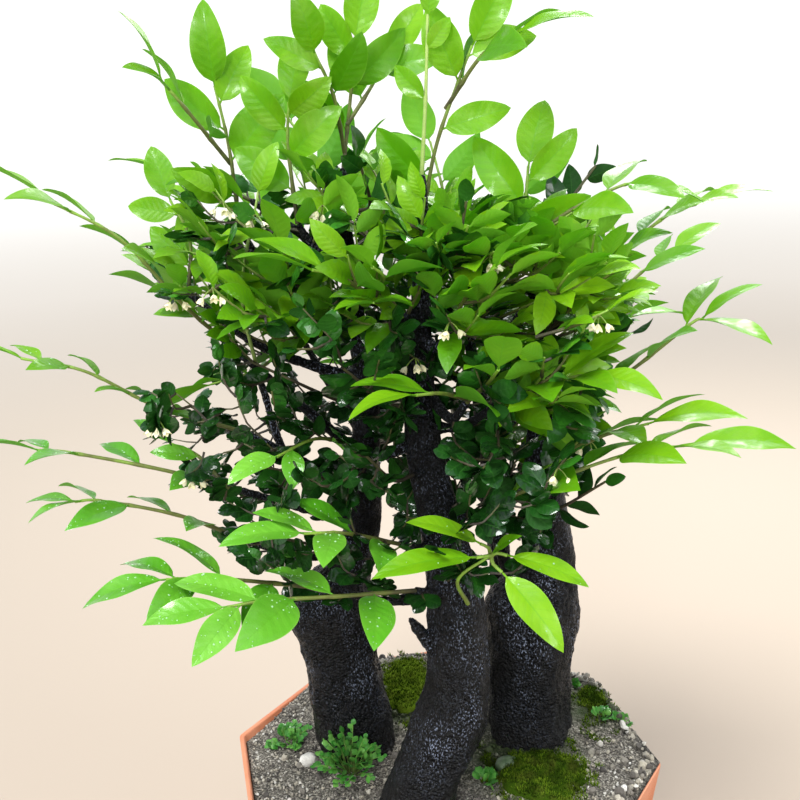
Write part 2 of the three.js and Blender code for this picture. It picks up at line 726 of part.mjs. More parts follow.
for (const spray of SPRAYS) {
  spray.parts = spray.stems.map((stem) => {
    stem.curve = curveOf(stem.path);
    stem.young = !spray.old;
    const radii = spray.old ? OLD_STEM_RADII : YOUNG_STEM_RADII;
    return largest(stemSolid(stem.path, ...radii, TWIG_SIDES).subtract(woodSpace));
  });
  spray.parts.forEach((solid) => taken.push({ node: spray.node, solid, box: solid.boundingBox() }));
}

SPRAYS.forEach((spray, s) => {
  const others = taken.filter((t) => t.node !== spray.node);
  const own = [];
  spray.stems.forEach((stem, k) => {
    for (let i = 0; i < stem.leaves; i++) {
      for (let attempt = 0; attempt < ATTEMPTS; attempt++) {
        const leaf = leafAt(stem, 10 * s + k, i, attempt);
        if (crosses(bladeSolid(leaf, SEAT_GAP), others)) continue;
        const solid = bladeSolid(leaf);
        const outer = solid.subtract(spray.parts[k]);
        if (attempt < ATTEMPTS - 1 && crosses(outer, own)) continue;
        own.push({ solid, box: solid.boundingBox() });
        break;
      }
    }
  });
  own.forEach(({ solid, box }) => taken.push({ node: spray.node, solid, box }));
  spray.solid = largest(wasm.Manifold.union([...spray.parts, ...own.map((o) => o.solid)]));
});

// The octagonal pot: a lathe with one flat side for each corner, and drain holes between them.
function potSolid() {
  const rim = POT_ACROSS / 2;
  const foot = POT_FOOT_ACROSS / 2;
  const inner = (z) => THREE.MathUtils.lerp(foot, rim, z / POT_HEIGHT) - POT_WALL;
  const outside = [[0, 0], [foot, 0], [rim, POT_HEIGHT]];
  const inside = [[rim - POT_WALL, POT_HEIGHT], [inner(POT_FLOOR), POT_FLOOR], [0, POT_FLOOR]];
  const profile = [...outside, ...inside].map(([r, z]) => new THREE.Vector2(r, z));
  const pot = new THREE.LatheGeometry(profile, POT_SIDES);
  pot.rotateX(Math.PI / 2);
  pot.rotateZ(POT_TURN);
  let solid = solidOf(pot);
  for (let i = 0; i < DRAIN_HOLES; i++) {
    const a = POT_TURN + (2 * Math.PI * i) / DRAIN_HOLES;
    const hole = new THREE.CylinderGeometry(DRAIN_RADIUS, DRAIN_RADIUS, 4 * POT_FLOOR, 8);
    hole.rotateX(Math.PI / 2);
    hole.translate(DRAIN_OFFSET * Math.cos(a), DRAIN_OFFSET * Math.sin(a), 0);
    solid = solid.subtract(solidOf(hole));
  }
  return solid;
}

// The distance from the middle to the side of an octagon, whose corner is `corner` away, at an angle.
function octagonReach(corner, angle) {
  const side = (2 * Math.PI) / POT_SIDES;
  const turned = (((angle - POT_TURN) % side) + side) % side;
  return (corner * Math.cos(side / 2)) / Math.cos(turned - side / 2);
}

// The grit's surface: low at the front left, heaped at the back left, the right and round the roots.
// A mound is [x, y, height, width].
const GRIT_LEVEL = POT_HEIGHT - 6;
const GRIT_MOUNDS = [
  [-70, 60, 9, 48], [80, 40, 12, 55], [95, -55, 9, 42], [10, -10, 7, 70], [-20, 100, 8, 40],
];

function gritHeight(x, y) {
  const heap = ([mx, my, high, wide]) => high * Math.exp(-((x - mx) ** 2 + (y - my) ** 2) / wide ** 2);
  return GRIT_MOUNDS.reduce((sum, mound) => sum + heap(mound), GRIT_LEVEL);
}

const GRIT_SIDES = 16;
const GRIT_RINGS = [0.96, 0.8, 0.6, 0.38, 0.16];
const SPILL_FROM = -1.15; // the grit lies over the rim between these two angles
const SPILL_TO = 1.1;
const SPILL_RAMP = 0.25;
const EDGE_BELOW = 5; // the grit's edge below the rim, away from the spill
const EDGE_STEP = 0.4; // from the grit's edge up to the next ring of points
const WALL_GAP = 1.2 * SEAT_GAP;

function gritSolid() {
  const rings = [];
  const ring = (reach, height) => {
    const points = [];
    for (let i = 0; i < GRIT_SIDES; i++) {
      const a = POT_TURN + (2 * Math.PI * i) / GRIT_SIDES;
      const r = reach(a);
      const x = r * Math.cos(a);
      const y = r * Math.sin(a);
      points.push(new THREE.Vector3(x, y, height(x, y, a)));
    }
    rings.push(points);
  };
  const rim = POT_ACROSS / 2;
  const foot = POT_FOOT_ACROSS / 2;
  const bottom = POT_FLOOR + SEAT_GAP;
  const innerTop = rim - POT_WALL - WALL_GAP;
  const innerFoot = THREE.MathUtils.lerp(foot, rim, bottom / POT_HEIGHT) - POT_WALL - WALL_GAP;
  const step = (2 * Math.PI) / GRIT_SIDES;
  const spill = (a) => {
    const turned = Math.atan2(Math.sin(a), Math.cos(a));
    const inside = Math.min(turned - SPILL_FROM, SPILL_TO - turned) / SPILL_RAMP;
    return THREE.MathUtils.clamp(inside, 0, 1);
  };
  const edge = (a) => THREE.MathUtils.lerp(POT_HEIGHT - EDGE_BELOW, POT_HEIGHT + SEAT_GAP, spill(a));
  const wallAt = (z) => THREE.MathUtils.lerp(innerFoot, innerTop, (z - bottom) / (POT_HEIGHT - bottom));
  ring((a) => octagonReach(innerFoot, a), () => bottom);
  ring((a) => octagonReach(wallAt(Math.min(edge(a), POT_HEIGHT)), a), (x, y, a) => edge(a));
  const overRim = (a) => [a - step, a, a + step].every((near) => spill(near) === 1);
  const edgeReach = (a) => wallAt(Math.min(edge(a), POT_HEIGHT)) + (overRim(a) ? POT_WALL : 0);
  ring((a) => octagonReach(edgeReach(a), a), (x, y, a) => edge(a) + EDGE_STEP);
  const surface = (x, y, a) => Math.max(gritHeight(x, y), edge(a) + 2 * EDGE_STEP);
  GRIT_RINGS.forEach((share) => ring((a) => octagonReach(innerTop * share, a), surface));
  return loft(rings);
}

const gritFull = gritSolid();
const gritLifted = gritFull.translate([0, 0, SEAT_GAP]);

// Moss: low cushions on the grit, bumpy on top, cut by the grit that they lie on.
const MOSS_PATCHES = [
  ["moss_back", [-24, 72], [16, 26], 5],
  ["moss_right_front", [58, -40], [24, 15], 6],
  ["moss_right_back", [98, 46], [9, 12], 4],
];

function mossSolid([x, y], [rx, ry], high, seed) {
  const z = gritHeight(x, y);
  const dome = new THREE.SphereGeometry(1, 10, 6);
  const place = dome.attributes.position;
  for (let i = 0; i < place.count; i++) {
    const [px, py, pz] = [place.getX(i), place.getY(i), place.getZ(i)];
    const broad = 0.14 * Math.sin(7 * px + seed) * Math.cos(6 * py - seed);
    const bump = 1 + broad + 0.08 * Math.sin(11 * pz + 5 * px);
    place.setXYZ(i, px * bump, py * bump, pz * bump);
  }
  dome.rotateX(Math.PI / 2);
  dome.scale(rx, ry, 2 * high);
  dome.translate(x, y, z - high);
  return largest(solidOf(dome).subtract(gritLifted).subtract(woodSpace));
}

// Weed seedlings: a few thin stalks from one root in a hole in the grit, with small oval leaves. Each
// weed is [name, place, number of stalks, their reach, the leaves' size, seed].
const WEEDS = [
  ["weed_left", [-97, 14], 3, 12, 8, 91],
  ["weed_front", [-56, -24], 4, 17, 8.5, 97],
];
const WEED_ROOT = 1.6;
const WEED_DEPTH = 9;
const WEED_STALK_RADII = [0.9, 0.7];
const WEED_LOWEST = 8; // heights of the stalks' tips over the grit
const WEED_HIGHEST = 17;
const WEED_LEAVES = 3; // on each stalk
const WEED_BARE = 0.6;

function weedRoot([x, y], grow = 0) {
  const z = gritHeight(x, y);
  const path = [[x, y, z - WEED_DEPTH], [x, y, z - WEED_DEPTH / 3], [x, y, z + WEED_DEPTH / 3]];
  return stemSolid(path, WEED_ROOT, WEED_ROOT, 6, grow);
}

function weedSolid([x, y], stalks, reach, size, seed) {
  const z = gritHeight(x, y);
  const parts = [weedRoot([x, y])];
  for (let i = 0; i < stalks; i++) {
    const a = (2 * Math.PI * (i + 0.6 * draw(seed, i, 1))) / stalks;
    const far = reach * (0.6 + 0.5 * draw(seed, i, 2));
    const high = z + THREE.MathUtils.lerp(WEED_LOWEST, WEED_HIGHEST, draw(seed, i, 3));
    const [dx, dy] = [far * Math.cos(a), far * Math.sin(a)];
    const path = [[x, y, z + 1], [x + 0.4 * dx, y + 0.4 * dy, high - 2], [x + dx, y + dy, high]];
    parts.push(stemSolid(path, ...WEED_STALK_RADII, TWIG_SIDES));
    const stem = { curve: curveOf(path), leaves: WEED_LEAVES, size, face: [0, 0, 1], bare: WEED_BARE };
    for (let k = 0; k < WEED_LEAVES; k++) parts.push(bladeSolid(leafAt(stem, seed + i, k, 0)));
  }
  return wasm.Manifold.union(parts).subtract(woodSpace);
}

// Pebbles half bedded in the grit, each a ball pulled to three half sizes.
const PEBBLES = [
  ["pebble_green", [38, -22], [7.5, 6, 5]],
  ["pebble_pale", [-82, -6], [6, 5, 4.5]],
];

function pebbleSolid([x, y], half) {
  const ball = new THREE.IcosahedronGeometry(1, 1);
  ball.scale(...half);
  ball.translate(x, y, gritHeight(x, y) + 1);
  return largest(solidOf(ball).subtract(gritLifted).subtract(woodSpace));
}

// The parts, each a named mesh in its own colour.
const bonsai = new THREE.Group();

function addPart(name, solid, look) {
  const mesh = solid.asOriginal().simplify(FLATNESS).getMesh();
  const geometry = new THREE.BufferGeometry();
  geometry.setAttribute("position", new THREE.BufferAttribute(new Float32Array(mesh.vertProperties), 3));
  geometry.setIndex(new THREE.BufferAttribute(new Uint32Array(mesh.triVerts), 1));
  geometry.computeVertexNormals();
  const part = new THREE.Mesh(geometry, new THREE.MeshStandardMaterial({ ...look, metalness: 0 }));
  part.name = name;
  bonsai.add(part);
}

const rootHoles = wasm.Manifold.union(WEEDS.map(([, at]) => weedRoot(at, SEAT_GAP)));
const gritWithHoles = gritLifted.subtract(rootHoles);

addPart("pot", potSolid(), CLAY);
addPart("grit", largest(gritFull.subtract(woodSpace).subtract(rootHoles)), GRIT);
TRUNKS.forEach(({ node }) => addPart(node, wood.get(node), BARK));
SPRAYS.forEach(({ node, solid, old }) => addPart(node, solid, old ? OLD_LEAF : YOUNG_LEAF));
MOSS_PATCHES.forEach(([name, at, half, high], i) => addPart(name, mossSolid(at, half, high, i), MOSS));
WEEDS.forEach(([name, ...weed]) => {
  addPart(name, largest(weedSolid(...weed).subtract(gritWithHoles)), SEEDLING);
});
PEBBLES.forEach(([name, at, half]) => addPart(name, pebbleSolid(at, half), STONE));

export default bonsai;
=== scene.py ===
# Looks of an old bonsai with three black trunks in an octagonal clay pot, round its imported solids.
# Sizes are millimetres until a mesh is made. +X is right, +Y away from the viewer and +Z up.
import math
from itertools import product

import bpy
import numpy as np
from mathutils import Matrix, Vector, noise
from mathutils.kdtree import KDTree


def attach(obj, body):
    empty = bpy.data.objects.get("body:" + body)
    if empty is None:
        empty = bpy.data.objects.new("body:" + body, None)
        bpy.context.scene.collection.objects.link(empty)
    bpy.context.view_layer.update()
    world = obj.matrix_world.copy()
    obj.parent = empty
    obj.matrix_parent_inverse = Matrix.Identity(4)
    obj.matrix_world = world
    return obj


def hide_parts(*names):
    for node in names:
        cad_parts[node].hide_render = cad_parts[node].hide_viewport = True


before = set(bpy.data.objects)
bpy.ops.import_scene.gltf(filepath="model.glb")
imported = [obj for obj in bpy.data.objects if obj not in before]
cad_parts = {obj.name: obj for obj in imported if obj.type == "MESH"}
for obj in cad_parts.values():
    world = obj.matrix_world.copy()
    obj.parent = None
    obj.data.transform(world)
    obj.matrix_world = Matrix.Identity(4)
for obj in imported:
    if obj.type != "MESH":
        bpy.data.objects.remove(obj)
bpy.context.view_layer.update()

MM = 0.001

# Camera: a little above the crown's middle, looking down on the tree, with a slight turn and roll.
CAMERA_PLACE = (0, -0.5392, 0.5005)
CAMERA_DOWN = math.radians(14.48)
CAMERA_TURN = math.radians(1.99)
CAMERA_ROLL = math.radians(-2.01)

camera = bpy.data.objects.new("camera", bpy.data.cameras.new("camera"))
camera.data.sensor_width = 36
camera.data.lens = 45
turned = Matrix.Rotation(CAMERA_TURN, 4, "Z") @ Matrix.Rotation(math.pi / 2 - CAMERA_DOWN, 4, "X")
camera.matrix_world = Matrix.Translation(CAMERA_PLACE) @ turned @ Matrix.Rotation(CAMERA_ROLL, 4, "Z")
bpy.context.scene.collection.objects.link(camera)
bpy.context.scene.camera = camera
bpy.context.scene.view_settings.view_transform = "Standard"


# Light: a pale room. A wide soft sun from the upper left in front shapes the forms, and large lamps
# glint on the wet bark, fill the right and shine through the young leaves from behind. The floor is
# plain and pale, with painted shade near the tree and painted light far away.
def put(tree, kind, inputs=(), **settings):
    """A new node; an input that is given as another node's output is linked, and any other is set."""
    node = tree.nodes.new("ShaderNode" + kind)
    for key, value in settings.items():
        setattr(node, key, value)
    for key, value in dict(inputs).items():
        if isinstance(value, bpy.types.NodeSocket):
            tree.links.new(value, node.inputs[key])
        else:
            node.inputs[key].default_value = value
    return node


def ramp(tree, factor, stops):
    """A colour that changes with a factor, from stops of (position, colour)."""
    node = put(tree, "ValToRGB", {"Fac": factor})
    marks = node.color_ramp.elements
    while len(marks) < len(stops):
        marks.new(0.5)
    for mark, (position, colour) in zip(marks, stops):
        mark.position = position
        mark.color = (*colour, 1)
    return node.outputs["Color"]


SKY = [  # from the horizon to the zenith
    (0.0, (0.97, 0.95, 0.91)), (0.12, (1.0, 0.99, 0.97)), (0.34, (0.56, 0.59, 0.63)),
    (1.0, (0.42, 0.5, 0.62)),
]
SKY_STRENGTH = 1.2
world = bpy.data.worlds.new("sky")
bpy.context.scene.world = world
world.use_nodes = True
sky = world.node_tree
sky_way = put(sky, "SeparateXYZ", {0: put(sky, "TexCoord").outputs["Generated"]})
sky.links.new(ramp(sky, sky_way.outputs["Z"], SKY), sky.nodes["Background"].inputs["Color"])
sky.nodes["Background"].inputs["Strength"].default_value = SKY_STRENGTH

LAMPS = [  # name, kind, place, what it points at, its size (the sun's in radians), strength
    ("sun", "SUN", (-0.6, -0.8, 1.9), (0, 0, 0.3), math.radians(26), 4.0),
    ("lamp_front", "AREA", (-0.35, -1.7, 0.8), (0, 0, 0.25), 0.4, 17),
    ("lamp_right", "AREA", (1.1, -0.8, 0.9), (0, 0, 0.3), 0.6, 7),
    ("lamp_behind", "AREA", (0.4, 1.0, 1.3), (0, 0, 0.4), 0.8, 24),
]
for name, kind, place, target, size, strength in LAMPS:
    lamp = bpy.data.objects.new(name, bpy.data.lights.new(name, kind))
    setattr(lamp.data, "angle" if kind == "SUN" else "size", size)
    lamp.data.energy = strength
    way = Vector(target) - Vector(place)
    lamp.matrix_world = Matrix.Translation(place) @ way.to_track_quat("-Z", "Y").to_matrix().to_4x4()
    bpy.context.scene.collection.objects.link(lamp)


def shaded(name, **constants):
    """A material with one Principled shader, its constant sockets set; returns it, its tree and shader."""
    made = bpy.data.materials.new(name)
    made.use_nodes = True
    shader = made.node_tree.nodes["Principled BSDF"]
    for socket, value in constants.items():
        shader.inputs[socket.replace("_", " ").title()].default_value = value
    return made, made.node_tree, shader


FLOOR_HALF = 25.0
FLOOR_FADE = 8.0  # where the floor has become as pale as it gets
floor_mesh = bpy.data.meshes.new("floor")
corners = [(x * FLOOR_HALF, y * FLOOR_HALF, 0) for x, y in ((-1, -1), (1, -1), (1, 1), (-1, 1))]
floor_mesh.from_pydata(corners, [], [(0, 1, 2, 3)])
floor = bpy.data.objects.new("floor", floor_mesh)
floor_look, tree, shader = shaded("pale_floor", roughness=0.95)
floor_far = put(tree, "VectorMath", {0: put(tree, "TexCoord").outputs["Object"]}, operation="LENGTH")
far_away = put(tree, "Math", {0: floor_far.outputs["Value"], 1: FLOOR_FADE}, operation="DIVIDE").outputs[0]
# Darker near the tree and paler far off: painted to make up for the lamps' light, which falls off with
# distance.
floor_falloff_stops = [
    (0.05, (0.35, 0.29, 0.23)), (0.18, (0.39, 0.33, 0.265)), (0.4, (0.5, 0.45, 0.39)),
    (1.0, (0.64, 0.61, 0.56)),
]
tree.links.new(ramp(tree, far_away, floor_falloff_stops), shader.inputs["Base Color"])
floor_mesh.materials.append(floor_look)
bpy.context.scene.collection.objects.link(floor)


# Pot: a plain octagonal training pot of unglazed orange clay, thin walled, with rounded corners and
# rim. It is pressed in one piece, with four drain holes off the middle of its underside.
POT_CORNER = 130
POT_FOOT_CORNER = 106
POT_HEIGHT = 140
POT_WALL = 3.2
POT_FLOOR = 4.5
POT_TURN = math.radians(-8)
POT_SIDES = 8
CORNER_ROUND = 5
CORNER_STEPS = 6
DRAIN_HOLES = 4
DRAIN_SIDES = 24
DRAIN_RADIUS = 6
DRAIN_OFFSET = 52


def mixed(tree, factor, a, b, blend="MIX"):
    """A colour between a and b."""
    node = put(tree, "Mix", {0: factor, 6: a, 7: b}, data_type="RGBA", blend_type=blend)
    return node.outputs[2]


def remapped(tree, value, low, high, to_low=0.0, to_high=1.0):
    """A value moved from one range to another, and held inside it."""
    inputs = {"Value": value, "From Min": low, "From Max": high, "To Min": to_low, "To Max": to_high}
    return put(tree, "MapRange", inputs).outputs["Result"]


def reckoned(tree, operation, a, b=0.0):
    return put(tree, "Math", {0: a, 1: b}, operation=operation).outputs[0]


def times(tree, a, b):
    return reckoned(tree, "MULTIPLY", a, b)


def named_group(name, inputs, outputs):
    """An empty node group with float sockets, and its input and output nodes."""
    group = bpy.data.node_groups.new(name, "ShaderNodeTree")
    for socket, value in inputs:
        made = group.interface.new_socket(socket, in_out="INPUT", socket_type="NodeSocketFloat")
        made.default_value = value
    for socket in outputs:
        group.interface.new_socket(socket, in_out="OUTPUT", socket_type="NodeSocketFloat")
    return group, group.nodes.new("NodeGroupInput"), group.nodes.new("NodeGroupOutput")


# Mottle: broad patches and a fine grain, both from 0 to 1, in the space of the object.
mottle, mottle_in, mottle_out = named_group(
    "mottle", [("Patch Scale", 20.0), ("Grain Scale", 600.0)], ["Patch", "Grain"]
)
where = put(mottle, "TexCoord").outputs["Object"]
for scale, detail, out in (("Patch Scale", 4, "Patch"), ("Grain Scale", 3, "Grain")):
    inputs = {"Vector": where, "Scale": mottle_in.outputs[scale], "Detail": detail, "Roughness": 0.6}
    cloud = put(mottle, "TexNoise", inputs).outputs["Fac"]
    mottle.links.new(remapped(mottle, cloud, 0.3, 0.7), mottle_out.inputs[out])


def grouped(tree, group, inputs=()):
    """A node group placed in a material with its own values; returns its outputs."""
    return put(tree, "Group", inputs, node_tree=group).outputs


def finish(tree, shader, colour=None, roughness=None, height=None, distance=0.0005, strength=0.6):
    """Feeds a shader its colour, roughness and the bump from a height."""
    if colour is not None:
        tree.links.new(colour, shader.inputs["Base Color"])
    if roughness is not None:
        tree.links.new(roughness, shader.inputs["Roughness"])
    if height is not None:
        bump = put(tree, "Bump", {"Height": height, "Distance": distance, "Strength": strength})
        tree.links.new(bump.outputs["Normal"], shader.inputs["Normal"])


clay, tree, shader = shaded("orange_clay")
marks = grouped(tree, mottle, {"Patch Scale": 14.0, "Grain Scale": 900.0})
clay_high = put(tree, "SeparateXYZ", {0: put(tree, "TexCoord").outputs["Object"]}).outputs["Z"]
clay_body = ramp(tree, marks["Patch"], [(0.0, (0.46, 0.145, 0.06)), (1.0, (0.61, 0.215, 0.1))])
# Paler in patches towards the rim.
rim_pale = times(tree, remapped(tree, clay_high, 0.118, 0.14), remapped(tree, marks["Patch"], 0.3, 1))
clay_paler_at_rim = mixed(tree, times(tree, rim_pale, 0.35), clay_body, (0.7, 0.42, 0.3, 1))
specks = remapped(tree, marks["Grain"], 0.0, 0.16, 0.35, 0.0)
clay_colour = mixed(tree, specks, clay_paler_at_rim, (0.3, 0.11, 0.05, 1))
clay_rough = remapped(tree, marks["Patch"], 0, 1, 0.6, 0.85)
finish(tree, shader, clay_colour, clay_rough, marks["Grain"], 0.0003, 0.5)


class Heap:
    """Points, faces and what each face carries, of the small bodies that make one piece."""

    def __init__(self):
        self.points, self.faces, self.corners, self.tones, self.looks = [], [], [], [], []
        self.count = 0

    def add(self, points, faces, look=0, tone=0.5, corners=None):
        points = np.asarray(points, float).reshape(-1, 3)
        start = self.count
        self.faces += [[i + start for i in face] for face in faces]
        self.looks += [look] * len(faces)
        self.points.append(points)
        self.tones.append(np.broadcast_to(tone, len(points)))
        if corners is None:
            corners = np.zeros((sum(len(face) for face in faces), 2))
        self.corners.append(corners)
        self.count += len(points)


def piece(name, heap, looks, stands_for=(), crease=40):
    """The heap as one smooth shaded object that rides on the root, sharp where faces meet steeply."""
    mesh = bpy.data.meshes.new(name)
    mesh.from_pydata((np.concatenate(heap.points) * MM).tolist(), [], heap.faces)
    mesh.polygons.foreach_set("material_index", heap.looks)
    mesh.uv_layers.new(name="leaf").data.foreach_set("uv", np.concatenate(heap.corners).ravel())
    mesh.attributes.new("tone", "FLOAT", "POINT").data.foreach_set("value", np.concatenate(heap.tones))
    for look in looks:
        mesh.materials.append(look)
    mesh.shade_smooth()
    mesh.set_sharp_from_angle(angle=math.radians(crease))
    made = bpy.data.objects.new(name, mesh)
    bpy.context.scene.collection.objects.link(made)
    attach(made, "root")
    if stands_for:
        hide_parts(*stands_for)
    return made


def octagon_ring(corner, high):
    """Points round an octagon whose corners are rounded, counter-clockwise seen from above."""
    half = math.pi / POT_SIDES
    middle = corner - CORNER_ROUND / math.cos(half)

    def on_corner(way, a):
        centre = np.array([middle * math.cos(way), middle * math.sin(way), high])
        return centre + [CORNER_ROUND * math.cos(a), CORNER_ROUND * math.sin(a), 0]

    ring = []
    for i in range(POT_SIDES):
        way = POT_TURN + 2 * half * i
        for k in range(CORNER_STEPS + 1):
            ring.append(on_corner(way, way - half + 2 * half * k / CORNER_STEPS))
        along = way + half + math.pi / 2
        edge = 2 * np.array([math.cos(along), math.sin(along), 0])
        following = way + 2 * half
        ring += [ring[-1] + edge, on_corner(following, following - half) - edge]
    return ring


def lofted(rings):
    """Faces between rings of as many points each, closed at both ends by one face."""
    sides = len(rings[0])
    faces = []
    for r in range(len(rings) - 1):
        for i in range(sides):
            a, b = r * sides + i, r * sides + (i + 1) % sides
            faces.append((a, b, b + sides, a + sides))
    last = (len(rings) - 1) * sides
    faces.append(tuple(range(sides - 1, -1, -1)))
    faces.append(tuple(range(last, last + sides)))
    return np.concatenate(rings), faces


def apply_modifiers(made):
    """Works an object's modifiers into its mesh."""
    mesh = bpy.data.meshes.new_from_object(made.evaluated_get(bpy.context.evaluated_depsgraph_get()))
    made.modifiers.clear()
    made.data = mesh


def pot_reach(high):
    """The corner's distance from the middle on the outside of the wall, at a height."""
    return POT_FOOT_CORNER + (POT_CORNER - POT_FOOT_CORNER) * high / POT_HEIGHT


LIP = 1.1
pot_profile = [(POT_FOOT_CORNER - 4, 0), (POT_FOOT_CORNER - 1.2, 0), (POT_FOOT_CORNER - 0.3, 0.5)]
pot_profile += [(pot_reach(z), z) for z in (1.6, 35, 70, 105, POT_HEIGHT - LIP)]
pot_profile += [(POT_CORNER - 0.3, POT_HEIGHT - 0.3), (POT_CORNER - LIP, POT_HEIGHT)]
pot_profile += [(POT_CORNER - POT_WALL + LIP, POT_HEIGHT), (POT_CORNER - POT_WALL + 0.3, POT_HEIGHT - 0.3)]
pot_profile += [(pot_reach(z) - POT_WALL, z) for z in (POT_HEIGHT - LIP, 105, 70, 35, POT_FLOOR)]
heap = Heap()
heap.add(*lofted([octagon_ring(corner, z) for corner, z in pot_profile]))
pot = piece("clay_pot", heap, [clay], ["pot"])
for i in range(DRAIN_HOLES):
    a = POT_TURN + i * math.pi / 2
    x, y = DRAIN_OFFSET * math.cos(a), DRAIN_OFFSET * math.sin(a)
    hole = [2 * math.pi * k / DRAIN_SIDES for k in range(DRAIN_SIDES)]
    hole = [(x + DRAIN_RADIUS * math.cos(b), y + DRAIN_RADIUS * math.sin(b)) for b in hole]
    points, faces = lofted([[(*p, z) for p in hole] for z in (-2 * POT_FLOOR, 2 * POT_FLOOR)])
    drill_mesh = bpy.data.meshes.new("drill")
    drill_mesh.from_pydata((points * MM).tolist(), [], faces)
    drill = bpy.data.objects.new("drill", drill_mesh)
    bpy.context.scene.collection.objects.link(drill)
    cut = pot.modifiers.new("hole", "BOOLEAN")
    cut.operation = "DIFFERENCE"
    cut.object = drill
    apply_modifiers(pot)
    bpy.data.objects.remove(drill)


# Grit: coarse volcanic grit heaped at the back and the right, with loose grains of grey, tan and
# white stone all over it. It spills over the rim at the right.
GRIT_MOUNDS = [  # x, y, height, width
    (-70, 60, 9, 48), (80, 40, 12, 55), (95, -55, 9, 42), (10, -10, 7, 70), (-20, 100, 8, 40),
]
GRIT_BELOW_RIM = 6
EDGE_BELOW_RIM = 5
SEAT_GAP = 0.35
SPILL_FROM, SPILL_TO = -1.15, 1.1  # the angles between which the grit lies over the rim
TRUNK_FEET = [(-54, 12, 25), (-14, -53, 23), (55, 17, 26), (40, 70, 8)]  # x, y, radius


def draw(a, b, c):
    """A repeatable draw from 0 to 1 for three numbers."""
    s = math.sin(a * 127.1 + b * 311.7 + c * 74.7) * 43758.5453
    return s - math.floor(s)


def grit_height(x, y):
    """The height of the grit's surface, for numbers or arrays of them."""
    heaps = (high * np.exp(-((x - mx) ** 2 + (y - my) ** 2) / wide**2) for mx, my, high, wide in GRIT_MOUNDS)
    return POT_HEIGHT - GRIT_BELOW_RIM + sum(heaps)


def octagon_reach(corner, angle):
    """The distance from the middle to an octagon's side at an angle."""
    side = 2 * math.pi / POT_SIDES
    return corner * math.cos(side / 2) / np.cos((angle - POT_TURN) % side - side / 2)


def spill(angle):
    """1 where the grit lies over the rim and 0 where it stays below it."""
    a = np.arctan2(np.sin(angle), np.cos(angle))
    return np.clip(np.minimum(a - SPILL_FROM, SPILL_TO - a) / 0.25, 0, 1)


def rumple(points, size, depth):
    """Soft noise from -depth to depth at each point, with lumps of about that size."""
    return np.array([depth * noise.noise(Vector(p) / size) for p in points])


def clear_of_trunks(x, y):
    return all((x - cx) ** 2 + (y - cy) ** 2 > r**2 for cx, cy, r in TRUNK_FEET)


ALGAE_PLACES = [  # middle and reach, in metres
    ((0.046, -0.012, 0.142), 0.045), ((-0.026, 0.05, 0.142), 0.04), ((0.095, 0.036, 0.145), 0.03),
]


def algae(tree, marks, colour):
    """The colour with a film of green algae over it, in patches on the damp ground between the trunks."""
    place = put(tree, "TexCoord").outputs["Object"]
    cover = 0.0
    for middle, reach in ALGAE_PLACES:
        away = put(tree, "VectorMath", {0: place, 1: middle}, operation="DISTANCE").outputs["Value"]
        cover = reckoned(tree, "MAXIMUM", remapped(tree, away, reach, 0.4 * reach), cover)
    cover = times(tree, cover, remapped(tree, marks["Patch"], 0.15, 0.7, 0.6, 1.0))
    return mixed(tree, cover, colour, (0.03, 0.05, 0.007, 1))


grit_look, tree, shader = shaded("grit_bed", roughness=0.9)
marks = grouped(tree, mottle, {"Patch Scale": 70.0, "Grain Scale": 800.0})
bed = ramp(tree, marks["Grain"], [
    (0.0, (0.02, 0.017, 0.013)), (0.4, (0.1, 0.088, 0.07)), (0.75, (0.36, 0.33, 0.27)),
    (1.0, (0.7, 0.66, 0.58)),
])
bed_damp = remapped(tree, marks["Patch"], 0.2, 0.9, 0.0, 0.5)
bed_damp = mixed(tree, bed_damp, bed, (0.09, 0.075, 0.055, 1), "MULTIPLY")
finish(tree, shader, algae(tree, marks, bed_damp), None, marks["Grain"], 0.0015, 1.0)

GRIT_ROUND, GRIT_RINGS = 160, 44
angles = POT_TURN + 2 * math.pi * np.arange(GRIT_ROUND) / GRIT_ROUND
edge = POT_HEIGHT - EDGE_BELOW_RIM + (EDGE_BELOW_RIM + SEAT_GAP) * spill(angles)
grit_rings = []


def grit_ring(corner, high):
    reach = octagon_reach(corner, angles)
    grit_rings.append(np.stack([reach * np.cos(angles), reach * np.sin(angles), high + 0 * angles], 1))


grit_ring(POT_FOOT_CORNER - POT_WALL, POT_FLOOR + SEAT_GAP)
edge_corner = pot_reach(np.minimum(edge, POT_HEIGHT)) - POT_WALL - 0.4
grit_ring(edge_corner, edge)
grit_ring(edge_corner + (POT_WALL - 0.6) * (spill(angles) == 1), edge + 0.4)
for k in range(GRIT_RINGS):
    corner = (POT_CORNER - POT_WALL - 0.6) * (0.985 - 0.965 * k / (GRIT_RINGS - 1))
    grit_ring(corner, 0)
    ring = grit_rings[-1]
    ring[:, 2] = np.maximum(grit_height(ring[:, 0], ring[:, 1]), edge + 0.8)
    ring[:, 2] += rumple(ring, 5.0, 0.9) + rumple(ring, 14.0, 1.2)
heap = Heap()
heap.add(*lofted(grit_rings))
piece("grit_bed", heap, [grit_look], ["grit"], crease=180)



def own_tone(tree):
    """The tone that a piece's points carry."""
    return put(tree, "Attribute", attribute_name="tone").outputs["Fac"]


